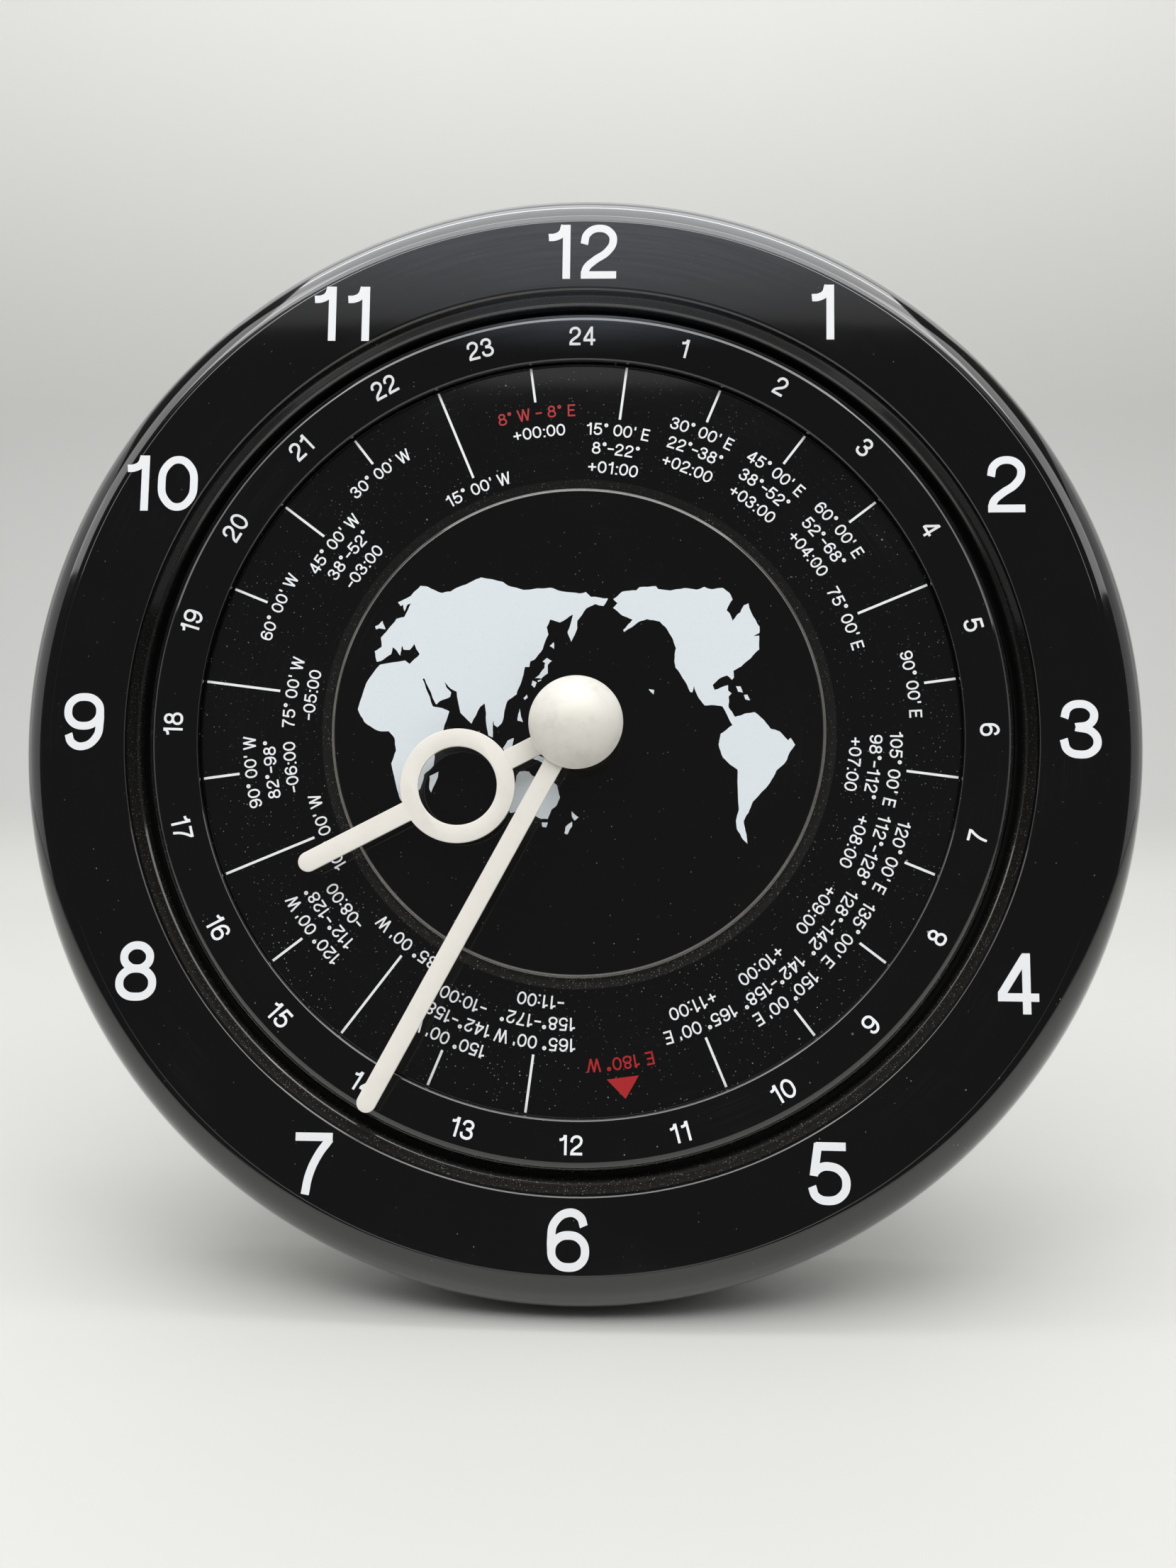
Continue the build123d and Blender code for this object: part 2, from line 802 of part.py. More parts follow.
# Train plate, with posts up to the middle plate
train_places = [third_place, seconds_place, fifth_place, rotor_place]
with BuildPart() as train_bridge:
    with BuildSketch(level(train_plate_back)):
        train_outline()
    extrude(amount=train_plate)
    for place in post_places:
        round_bar(train_plate_front, middle_plate_back - train_plate_front, post_radius, place)
    round_bar(train_plate_back, train_plate, hour_tube_bore, mode=Mode.SUBTRACT)
    round_bar(
        train_plate_back, train_plate, setting_arbor_radius + running_gap, motion_place, Mode.SUBTRACT
    )
    for place in train_places:
        round_bar(
            train_plate_back, pivot_depth, pivot_radius + running_gap, place, Mode.SUBTRACT
        )
    post_holes(train_plate_back, middle_plate_back - train_plate_back)
save(train_bridge, "train_bridge")

# Movement case: walls, back, posts and an open bay for the cell
with BuildPart() as movement_case:
    with BuildSketch(level(movement_back)):
        movement_outline()
    extrude(amount=front_plate_back - movement_back)
    with BuildSketch(level(rear_wall_front)):
        movement_outline(movement_wall)
    extrude(amount=front_plate_back - rear_wall_front, mode=Mode.SUBTRACT)
    inner_width = movement_width - 2 * movement_wall
    with BuildSketch(level(movement_back, (0, cell_y))):
        Rectangle(inner_width, 2 * (cell_radius + cell_gap))
    extrude(amount=rear_wall, mode=Mode.SUBTRACT)
    with BuildSketch(level(rear_wall_front, (0, (partition_low + partition_high) / 2))):
        Rectangle(inner_width, movement_wall)
    extrude(amount=front_plate_back - rear_wall_front)
    for place in post_places:
        round_bar(rear_wall_front, train_plate_back - rear_wall_front, post_radius, place)
        round_bar(
            train_plate_back - movement_screw_bite, movement_screw_bite, movement_screw_radius, place,
            Mode.SUBTRACT,
        )
    for place in train_places + [centre]:
        round_bar(
            rear_wall_front - pivot_depth - running_gap, pivot_depth + running_gap,
            pivot_radius + running_gap, place, Mode.SUBTRACT,
        )
    round_bar(
        movement_back, rear_wall, setting_arbor_radius + running_gap, motion_place, Mode.SUBTRACT
    )
save(movement_case, "movement_case")

# Movement screws, from the pan through every plate into the case
with BuildPart() as movement_screws:
    for place in post_places:
        screw_end = train_plate_back - movement_screw_bite
        round_bar(screw_end, pan_front - screw_end, movement_screw_radius, place)
        with BuildSketch(level(pan_front - head_depth, place)):
            Circle(movement_screw_radius)
        with BuildSketch(level(pan_front, place)):
            Circle(movement_screw_head)
        loft()
save(movement_screws, "movement_screws")

# Going train: each wheel is moulded with its pinion and arbor
train_level_a = centre_wheel_back
train_level_b = third_wheel_back
train_level_d = fifth_wheel_back


def train_wheel(place, wheel, pinion):
    """Add an arbor with pivots, a wheel and a pinion; each is (height, teeth, module, phase)."""
    round_bar(rear_wall_front, train_plate_back - rear_wall_front, train_arbor_radius, place)
    round_bar(
        rear_wall_front - pivot_depth, train_plate_back - rear_wall_front + 2 * pivot_depth - running_gap,
        pivot_radius, place,
    )
    height, teeth, module, phase = wheel
    toothed(height, train_wheel_thickness, place, teeth, module, wheel_addendum, phase)
    height, teeth, module, phase = pinion
    toothed(
        height - pinion_overlap, train_wheel_thickness + 2 * pinion_overlap, place, teeth, module,
        pinion_addendum, phase,
    )


third_line = radians(third_direction)
seconds_line = radians(seconds_direction)
fifth_line = radians(fifth_direction)
rotor_line = radians(rotor_direction)

# Centre wheel, which slips on the minute arbor when the hands are set
with BuildPart() as centre_wheel:
    toothed(
        train_level_a, train_wheel_thickness, centre, centre_wheel_teeth, coarse_module,
        wheel_addendum, third_line + pi / centre_wheel_teeth,
    )
    round_bar(
        train_level_a, train_wheel_thickness, hour_tube_bore, mode=Mode.SUBTRACT
    )
save(centre_wheel, "centre_wheel")

# Clutch spring, which presses the centre wheel from behind
with BuildPart() as clutch_spring:
    with BuildSketch(level(train_level_a - running_gap)):
        Circle(clutch_radius)
        Circle(minute_arbor_radius, mode=Mode.SUBTRACT)
    extrude(amount=-clutch_thickness)
save(clutch_spring, "clutch_spring")

with BuildPart() as third_wheel:
    train_wheel(
        third_place,
        (train_level_b, third_wheel_teeth, fine_module, seconds_line + pi / third_wheel_teeth),
        (train_level_a, train_pinion_teeth, coarse_module, third_line + pi),
    )
save(third_wheel, "third_wheel")

with BuildPart() as seconds_wheel:
    train_wheel(
        seconds_place,
        (train_level_a, seconds_wheel_teeth, coarse_module, fifth_line + pi / seconds_wheel_teeth),
        (train_level_b, train_pinion_teeth, fine_module, seconds_line + pi),
    )
save(seconds_wheel, "seconds_wheel")

with BuildPart() as fifth_wheel:
    train_wheel(
        fifth_place,
        (train_level_d, fifth_wheel_teeth, fine_module, rotor_line + pi / fifth_wheel_teeth),
        (train_level_a, train_pinion_teeth, coarse_module, fifth_line + pi),
    )
save(fifth_wheel, "fifth_wheel")

# Rotor: its pinion and arbor, and the magnet pressed on them
with BuildPart() as rotor:
    round_bar(rear_wall_front, train_plate_back - rear_wall_front, train_arbor_radius, rotor_place)
    round_bar(
        rear_wall_front - pivot_depth,
        train_plate_back - rear_wall_front + 2 * pivot_depth - running_gap, pivot_radius, rotor_place,
    )
    toothed(
        train_level_d - pinion_overlap, train_wheel_thickness + 2 * pinion_overlap, rotor_place,
        train_pinion_teeth, fine_module, pinion_addendum, rotor_line + pi,
    )
save(rotor, "rotor")

with BuildPart() as rotor_magnet:
    with BuildSketch(level(magnet_back, rotor_place)):
        Circle(magnet_radius)
        Circle(train_arbor_radius, mode=Mode.SUBTRACT)
    extrude(amount=magnet_height)
save(rotor_magnet, "rotor_magnet")

# Stator plate round the magnet, with arms up to the core of the coil
stator_back = magnet_back + (magnet_height - stator_thickness) / 2
coil_y = movement_above - movement_wall - coil_wall_gap - stator_arm / 2 - coil_wire_depth
lobe_radius = magnet_radius + stator_gap + stator_lobe
arm_left = rotor_place[0] - stator_left_reach - stator_arm / 2
arm_right = rotor_place[0] + stator_right_reach
with BuildPart() as stator:
    with BuildSketch(level(stator_back)):
        with Locations(rotor_place):
            Circle(lobe_radius)
        with Locations(((rotor_place[0] + arm_right) / 2, rotor_place[1] + stator_arm / 2)):
            Rectangle(arm_right - rotor_place[0] + stator_arm, stator_arm)
        for arm in (arm_left, arm_right):
            with Locations((arm, (rotor_place[1] + coil_y + stator_arm) / 2)):
                Rectangle(stator_arm, coil_y - rotor_place[1])
        with Locations(((arm_left + arm_right) / 2, coil_y)):
            Rectangle(arm_right - arm_left + stator_arm, stator_arm)
        with Locations(rotor_place):
            Circle(magnet_radius + stator_gap, mode=Mode.SUBTRACT)
    extrude(amount=stator_thickness)
save(stator, "stator")

# Coil bobbin round the core, and the winding between its flanges
core_reach = hypot(stator_arm / 2, stator_thickness / 2)
bobbin_radius = core_reach + coil_core_wall
wire_radius = bobbin_radius + coil_wire_depth
coil_height = stator_back + stator_thickness / 2
coil_middle = (arm_left + arm_right) / 2
coil_start = sideways(coil_middle - coil_length / 2, coil_y, coil_height)
with BuildPart() as coil_bobbin:
    with BuildSketch(coil_start):
        Circle(bobbin_radius)
    extrude(amount=coil_length)
    for offset in (0, coil_length - coil_flange):
        with BuildSketch(coil_start.offset(offset)):
            Circle(wire_radius + coil_flange_proud)
        extrude(amount=coil_flange)
    with BuildSketch(coil_start):
        Rectangle(stator_arm, stator_thickness)
    extrude(amount=coil_length, mode=Mode.SUBTRACT)
save(coil_bobbin, "coil_bobbin")

with BuildPart() as coil_winding:
    with BuildSketch(coil_start.offset(coil_flange)):
        Circle(wire_radius)
        Circle(bobbin_radius, mode=Mode.SUBTRACT)
    extrude(amount=coil_length - 2 * coil_flange)
save(coil_winding, "coil_winding")

# Circuit board on the case back, with its chip and quartz crystal
board_place = (board_left + board_width / 2, board_top - board_height / 2)
board_front = rear_wall_front + board_thickness
with BuildPart() as circuit_board:
    with BuildSketch(level(rear_wall_front, board_place)):
        Rectangle(board_width, board_height)
    extrude(amount=board_thickness)
save(circuit_board, "circuit_board")

chip_plane = Plane(
    origin=face.from_local_coords((*board_place, board_front)), x_dir=face.x_dir, z_dir=-face.y_dir
)
with BuildPart() as circuit_chip:
    with BuildSketch(chip_plane):
        with BuildLine():
            Line((0, 0), (chip_radius, 0))
            dome_arc(chip_radius, 0, chip_rise)
            Line((0, chip_rise), (0, 0))
        make_face()
    revolve(axis=Axis(chip_plane.origin, face.z_dir))
save(circuit_chip, "circuit_chip")

with BuildPart() as quartz_crystal:
    crystal_start = sideways(
        board_left + crystal_inset, board_place[1] - crystal_drop, board_front + crystal_radius
    )
    with BuildSketch(crystal_start):
        Circle(crystal_radius)
    extrude(amount=crystal_length)
save(quartz_crystal, "quartz_crystal")

# Dry cell in the bay, and its two contacts
bay_half = movement_width / 2 - movement_wall
cell_height = movement_back + rear_wall + cell_gap + cell_radius
cell_right = bay_half - contact_thickness - cell_nub_length
cell_start = sideways(cell_right - cell_body_length, cell_y, cell_height)
with BuildPart() as dry_cell:
    with BuildSketch(cell_start):
        Circle(cell_radius)
    extrude(amount=cell_body_length)
    with BuildSketch(cell_start.offset(cell_body_length)):
        Circle(cell_nub_radius)
    extrude(amount=cell_nub_length)
save(dry_cell, "dry_cell")

with BuildPart() as positive_contact:
    with BuildSketch(sideways(bay_half - contact_thickness, cell_y, cell_height)):
        Rectangle(contact_width, contact_width)
    extrude(amount=contact_thickness)
save(positive_contact, "positive_contact")

cell_left = cell_right - cell_body_length
spring_rise = cell_left + bay_half
with BuildPart() as negative_contact:
    with BuildSketch(level(cell_height - contact_width / 2, (-bay_half, cell_y))):
        with BuildLine():
            Polyline(
                (0, -contact_width / 2),
                (contact_thickness, -contact_width / 2),
                (spring_rise, -contact_spring_rise),
                (spring_rise, contact_spring_rise),
                (contact_thickness, contact_width / 2),
                (0, contact_width / 2),
                (0, contact_width / 2 - contact_thickness),
                (spring_rise - contact_thickness, contact_spring_rise - contact_thickness / 2),
                (spring_rise - contact_thickness, contact_thickness / 2 - contact_spring_rise),
                (0, contact_thickness - contact_width / 2),
                close=True,
            )
        make_face()
    extrude(amount=contact_width)
save(negative_contact, "negative_contact")

# Rear cover: a dish with a window for the movement, a keyhole and ears for the leg
cover_outer = skirt_rear_radius - frame_wall - cover_clearance
ear_inner = leg_width / 2 + hinge_side_gap
with BuildPart() as rear_cover:
    turned(
        [
            (0, cover_back),
            (cover_back_radius, cover_back),
            (skirt_rear_radius, -skirt_depth - cover_lip),
            (skirt_rear_radius, -skirt_depth),
            (cover_outer, -skirt_depth),
            (cover_outer, -skirt_depth + cover_lap),
            (cover_outer - cover_wall, -skirt_depth + cover_lap),
            (cover_outer - cover_wall, -skirt_depth - cover_lip / 2),
            (cover_back_radius - cover_wall / 2, cover_inside),
            (0, cover_inside),
        ]
    )
    with BuildSketch(level(cover_back, (0, (movement_above - movement_below) / 2))):
        RectangleRounded(
            movement_width + 2 * window_gap,
            movement_above + movement_below + 2 * window_gap,
            window_corner,
        )
    extrude(amount=cover_wall, mode=Mode.SUBTRACT)
    for angle in case_screw_angles:
        boss_place = beside(centre, angle, case_screw_circle)
        round_bar(cover_inside, pan_back - cover_inside, case_boss_radius, boss_place)
        with Locations(behind(cover_back, boss_place)):
            CounterSinkHole(case_screw_radius + screw_hole_gap, case_screw_head + screw_hole_gap)
    with BuildSketch(level(cover_back, (0, keyhole_height))):
        Circle(keyhole_radius)
        with Locations((0, keyhole_slot_length / 2)):
            Rectangle(2 * keyhole_slot_radius, keyhole_slot_length)
        with Locations((0, keyhole_slot_length)):
            Circle(keyhole_slot_radius)
    extrude(amount=cover_wall, mode=Mode.SUBTRACT)
    for side in (-1, 1):
        ear_start = side * (ear_inner + ear_thickness / 2) - ear_thickness / 2
        with BuildSketch(sideways(ear_start, hinge_height, hinge_depth)):
            Circle(ear_half_height)
            with Locations((0, hinge_offset / 2)):
                Rectangle(2 * ear_half_height, hinge_offset)
            Circle(hinge_pin_radius, mode=Mode.SUBTRACT)
        extrude(amount=ear_thickness)
save(rear_cover, "rear_cover")

# Case screws, from the rear cover through the pan into the frame
with BuildPart() as case_screws:
    for angle in case_screw_angles:
        screw_place = beside(centre, angle, case_screw_circle)
        round_bar(
            cover_back, pan_front + case_screw_bite - cover_back, case_screw_radius, screw_place
        )
        with BuildSketch(behind(cover_back + case_screw_head - case_screw_radius, screw_place)):
            Circle(case_screw_radius)
        with BuildSketch(behind(cover_back, screw_place)):
            Circle(case_screw_head)
        loft()
save(case_screws, "case_screws")

# Hinge pin of the stand leg, held in the ears
pin_half = ear_inner + ear_thickness
with BuildPart() as hinge_pin:
    with BuildSketch(sideways(-pin_half, hinge_height, hinge_depth)):
        Circle(hinge_pin_radius)
    extrude(amount=2 * pin_half)
save(hinge_pin, "hinge_pin")

# Stand leg: a tapered frame that swings on the pin, and a heel that stops it when open
leg_sin = sin(radians(leg_angle))
leg_cos = cos(radians(leg_angle))
leg_length = hinge_floor_height / leg_cos
leg_plane = Plane(
    origin=face.from_local_coords((0, hinge_height, hinge_depth)),
    x_dir=(1, 0, 0),
    z_dir=(0, leg_cos, leg_sin),
)


def leg_plate():
    """Add the leg's tapered plate, drawn past the floor, where it is then cut."""
    past = leg_length + leg_thickness
    leg_shoulder = 2 * ear_half_height
    foot_half_width = leg_width / 2 + leg_flare
    with BuildSketch(leg_plane) as outline:
        with BuildLine():
            Polyline(
                (-leg_width / 2, 0),
                (leg_width / 2, 0),
                (leg_width / 2, leg_shoulder),
                (foot_half_width, past),
                (-foot_half_width, past),
                (-leg_width / 2, leg_shoulder),
                close=True,
            )
        make_face()
    extrude(outline.sketch, amount=leg_thickness / 2, both=True)


panel_end = leg_length - leg_panel_margin
with BuildPart() as stand_leg:
    leg_plate()
    with BuildSketch(leg_plane.offset(leg_thickness / 2)):
        with Locations((0, (leg_panel_margin + panel_end) / 2)):
            RectangleRounded(
                leg_width - 2 * leg_panel_margin, panel_end - leg_panel_margin, leg_panel_corner
            )
    extrude(amount=-leg_panel_depth, mode=Mode.SUBTRACT)
    split(bisect_by=Plane.XY.offset(leg_pad_thickness), keep=Keep.TOP)
    with BuildSketch(level(cover_back - heel_gap, (0, hinge_height + heel_height / 2))):
        Rectangle(leg_width, heel_height)
    extrude(amount=-heel_thickness)
    knuckle_start = sideways(-leg_width / 2, hinge_height, hinge_depth)
    with BuildSketch(knuckle_start):
        Circle(hinge_knuckle_radius)
    extrude(amount=leg_width)
    with BuildSketch(knuckle_start):
        Circle(hinge_pin_radius + running_gap)
    extrude(amount=leg_width, mode=Mode.SUBTRACT)
save(stand_leg, "stand_leg")

with BuildPart() as leg_pad:
    leg_plate()
    split(bisect_by=Plane.XY.offset(leg_pad_thickness), keep=Keep.BOTTOM)
    split(bisect_by=Plane.XY, keep=Keep.TOP)
save(leg_pad, "leg_pad")

# Front feet: two small blocks shaped to the underside of the skirt
skirt_slope = skirt_taper / (skirt_depth + roll_height)
foot_ring_radius = rim_radius - (roll_height - foot_depth) * skirt_slope
foot_drop = foot_ring_radius * cos(asin(foot_spread / foot_ring_radius))
foot_y = face_place - foot_drop * lean_sin - foot_depth * lean_cos
with BuildPart() as front_feet:
    with BuildSketch(Plane.XY):
        for side in (-1, 1):
            with Locations((side * foot_spread, foot_y)):
                Circle(foot_radius)
    extrude(amount=foot_height)
    with BuildSketch(profile):
        with BuildLine():
            Polyline(
                (0, roll_height),
                (rim_radius, roll_height),
                (skirt_rear_radius, -skirt_depth),
                (0, -skirt_depth),
                close=True,
            )
        make_face()
    revolve(axis=face_axis, mode=Mode.SUBTRACT)
save(front_feet, "front_feet")
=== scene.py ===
"""World time table clock: its dial, print, hands and finishes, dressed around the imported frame.

The face leans back. In its own frame x runs to the right, y up towards the twelve and z forward,
and its middle is level with the inner edge of the hour ring. Each piece is modelled flat in that
frame, in metres, and is then laid on the face.
"""

import json
import random
from functools import cache, partial
from math import atan2, cos, degrees, hypot, pi, radians, sin, sqrt

import bpy
from bpy.props import FloatProperty, FloatVectorProperty, IntProperty, PointerProperty
from mathutils import Matrix, Vector


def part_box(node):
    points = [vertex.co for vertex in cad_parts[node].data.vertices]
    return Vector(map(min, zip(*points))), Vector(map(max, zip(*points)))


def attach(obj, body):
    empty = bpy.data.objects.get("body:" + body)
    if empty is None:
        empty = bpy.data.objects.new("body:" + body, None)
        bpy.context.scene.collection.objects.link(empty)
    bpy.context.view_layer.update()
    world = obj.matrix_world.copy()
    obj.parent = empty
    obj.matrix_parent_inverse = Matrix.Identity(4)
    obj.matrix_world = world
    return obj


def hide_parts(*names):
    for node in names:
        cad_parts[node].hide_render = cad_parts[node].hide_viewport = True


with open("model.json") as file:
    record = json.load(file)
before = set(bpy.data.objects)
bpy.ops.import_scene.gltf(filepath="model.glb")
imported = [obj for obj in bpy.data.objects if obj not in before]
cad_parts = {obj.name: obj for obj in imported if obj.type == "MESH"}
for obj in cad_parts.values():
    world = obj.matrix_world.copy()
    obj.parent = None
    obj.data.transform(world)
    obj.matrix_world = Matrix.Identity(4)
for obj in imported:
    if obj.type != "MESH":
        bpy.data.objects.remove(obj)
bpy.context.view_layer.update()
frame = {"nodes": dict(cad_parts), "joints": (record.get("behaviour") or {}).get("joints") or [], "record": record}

bl_info = {
    "name": "World time clock",
    "version": (1, 0, 0),
    "blender": (4, 5, 0),
    "location": "View3D > Sidebar > Clock",
    "description": "Dresses a packed world time table clock with its dial, print and finishes",
    "category": "Add Mesh",
}

mm = 0.001
zone_turn = next(joint for joint in frame["joints"] if joint["name"] == "zone_turn")
face_front = -Vector(zone_turn["axis"]).normalized()
face_right = Vector((1, 0, 0))
face_up = face_front.cross(face_right)
face_middle = Vector(zone_turn["pos_m"])
face_to_world = (
    Matrix.Translation(face_middle)
    @ Matrix((face_right, face_up, face_front)).transposed().to_4x4()
)
hours = 12
zones = 24

# Steps in the arcs of the outlines, and the angle in degrees at which the rim's roll starts
ROLL_START = 84
ROLL_STEPS = 20
TIP_STEPS = 16
COLLAR_STEPS = 40
RING_HOLE_STEPS = 72
DOME_STEPS = 24
COVE_STEPS = 24

# Edges that bend less than this are shaded smooth
TURNED_SMOOTH = radians(32)
HAND_SMOOTH = radians(40)
BACK_SMOOTH = radians(28)

# Points nearer than this are one point, on a loose outline and on a finished mesh
OUTLINE_MERGE = 0.001 * mm
MESH_MERGE = 0.002 * mm


def length(name, description, millimetres):
    """A length property, with its default given in millimetres."""
    return FloatProperty(
        name=name, description=description, default=millimetres * mm, precision=5, unit="LENGTH"
    )


def angle(name, description, degrees):
    """An angle property, with its default given in degrees."""
    return FloatProperty(name=name, description=description, default=radians(degrees), unit="ROTATION")


def colour(name, description, red, green, blue):
    """A colour property, with its default given as screen values from 0 to 255."""
    linear = [((level / 255 + 0.055) / 1.055) ** 2.4 for level in (red, green, blue)]
    return FloatVectorProperty(
        name=name, description=description, default=linear, subtype="COLOR", min=0, max=1
    )


class ClockDialSizes(bpy.types.PropertyGroup):
    """Radii and heights of the turned pieces of the dial"""

    turn_steps: IntProperty(name="Steps", description="Steps in one turn of a turned piece", default=240)
    edge_softness: length("Edge softness", "Radius of the small rounding on moulded edges", 0.35)
    rim_radius: length("Rim radius", "Outer radius of the front frame", 114.0)
    roll_width: length("Roll", "Radius of the rolled rim", 7.0)
    skirt_depth: length("Skirt depth", "From the hour ring to the frame's rear edge", 24.0)
    skirt_taper: length("Skirt taper", "How far the skirt draws in towards the rear", 2.0)
    frame_wall: length("Frame wall", "Wall thickness of the front frame", 2.4)
    hour_ring_inner: length("Hour ring inner", "Inner radius of the hour ring", 92.1)
    hour_ring_fall: length("Hour ring fall", "How far the hour ring falls towards its outside", -0.4)
    slope_inner: length("Slope inner", "Radius at the foot of the slope inside the hour ring", 90.5)
    slope_fall: length("Slope fall", "Depth of the slope inside the hour ring", 3.0)
    groove_outer: length("Groove outer", "Outer radius of the groove round the day ring", 89.5)
    ledge_width: length("Ledge", "Width of the narrow ledge at the foot of the slope", 0.65)
    ledge_fall: length("Ledge fall", "How far the ledge falls inwards", 0.5)
    groove_edge_fall: length("Groove edge", "Depth of the rounded edge of the groove", 1.5)
    pan_front: length("Pan front", "Height of the pan's face, where the frame's inner wall ends", -7.4)
    day_ring_outer: length("Day ring outer", "Outer radius of the 24-hour ring", 88.2)
    day_bevel_outer: length("Day ring bevel", "Radius between the ring's two bevels", 87.2)
    day_face_outer: length("Day face outer", "Outer radius of the ring's printed face", 85.9)
    day_face_inner: length("Day face inner", "Inner radius of the ring's printed face", 79.5)
    day_lip_inner: length("Day ring lip", "Inner radius of the ring's lip", 77.8)
    day_face_height: length("Day face height", "Height of the printed face at its outside", -1.0)
    day_face_fall: length("Day face fall", "How far the printed face falls inwards", 1.3)
    day_bevel_height: length("Bevel height", "Height between the ring's two bevels", -1.75)
    day_edge_height: length("Edge height", "Height of the ring's outer edge", -4.0)
    day_lip_height: length("Lip height", "Height of the lip's top edge", -2.75)
    day_lip_bottom: length("Lip bottom", "Height of the lip's underside", -4.2)
    day_ring_bottom: length("Ring bottom", "Height of the ring's rear edge", -6.5)
    day_seat_outer: length("Ring seat", "Inner radius of the ring's rear skirt", 86.3)
    zone_radius: length("Zone disc radius", "Radius of the zone disc", 79.2)
    zone_hole: length("Zone disc hole", "Radius of the zone disc's hole", 7.2)
    zone_height: length("Zone disc height", "Height of the zone disc's face", -4.6)
    zone_thickness: length("Zone disc thickness", "Thickness of the zone disc", 1.5)
    map_radius: length("Map disc radius", "Radius of the raised map disc", 50.4)
    map_hole: length("Map disc hole", "Radius of the map disc's hole", 3.6)
    map_height: length("Map disc height", "Height of the map disc's face", -3.2)
    map_thickness: length("Map disc thickness", "Thickness of the map disc", 1.0)
    map_bevel: length("Map disc bevel", "Width of the map disc's bevelled edge", 0.6)
    hub_radius: length("Hub radius", "Radius of the domed cap", 9.35)
    hub_base: length("Hub base", "Height of the cap's rim", 4.6)
    hub_rise: length("Hub rise", "Rise of the cap's dome", 6.0)
    hub_wall: length("Hub wall", "Wall thickness of the cap", 1.2)


class ClockHandSizes(bpy.types.PropertyGroup):
    """Sizes and rest angles of the two hands"""

    thickness: length("Thickness", "Thickness of both hands", 0.8)
    edge: length("Edge", "Rounding of the hands' edges", 0.15)
    hour_height: length("Hour hand height", "Height of the hour hand's back", 0.4)
    hour_length: length("Hour hand length", "From the middle to the hour hand's tip", 62.0)
    hour_width: length("Hour hand width", "Width of the hour hand's bar", 4.0)
    hour_collar: length("Hour collar", "Radius of the hour hand's collar", 4.4)
    ring_place: length("Ring place", "From the middle to the ring's middle", 26.7)
    ring_outer: length("Ring outer", "Outer radius of the hour hand's ring", 11.5)
    ring_inner: length("Ring inner", "Inner radius of the hour hand's ring", 7.9)
    hour_angle: angle("Hour hand angle", "Clockwise from the twelve", 242.2)
    minute_height: length("Minute hand height", "Height of the minute hand's back", 3.4)
    minute_length: length("Minute hand length", "From the middle to the minute hand's tip", 86.0)
    minute_width: length("Minute hand width", "Width of the minute hand's bar", 3.8)
    minute_collar: length("Minute collar", "Radius of the minute hand's collar", 4.0)
    minute_angle: angle("Minute hand angle", "Clockwise from the twelve", 207.9)


class ClockBackSizes(bpy.types.PropertyGroup):
    """Sizes of the cross recesses in the case screws"""

    recess_length: length("Recess length", "Length of the cross recess in a case screw", 3.6)
    recess_width: length("Recess width", "Width of a bar of the cross recess", 1.0)
    recess_depth: length("Recess depth", "Depth of the cross recess", 1.2)


class ClockPrintSizes(bpy.types.PropertyGroup):
    """Sizes of the numerals, ticks and labels"""

    ink: length("Ink", "Thickness of the printed ink", 0.08)
    ink_sink: length("Ink sink", "How deep the ink's back lies in what carries it", 0.03)
    hour_height: length("Hour numerals", "Height of the hour numerals", 11.7)
    hour_circle: length("Hour circle", "Radius of the hour numerals' circle", 100.0)
    day_height: length("Day numerals", "Height of the 24-hour numerals", 3.7)
    day_circle: length("Day circle", "Radius of the 24-hour numerals' circle", 82.5)
    label_height: length("Labels", "Height of the zone labels", 2.6)
    label_step: length("Label rows", "Distance between rows of a label", 4.1)
    label_gap: length("Label gap", "From a tick's inner end to the middle of its first row", 2.4)
    tick_outer: length("Tick end", "Outer radius of the zone ticks", 77.4)
    tick_width: length("Tick width", "Width of a zone tick", 0.5)
    zero_angle: angle("Zero zone", "Rest angle of the zero zone's tick, clockwise from the twelve", -8.1)
    arrow_tip: length("Arrow tip", "Radius of the date arrow's tip", 74.6)
    arrow_base: length("Arrow base", "Radius of the date arrow's base", 70.4)
    arrow_width: length("Arrow width", "Width of the date arrow's base", 6.4)


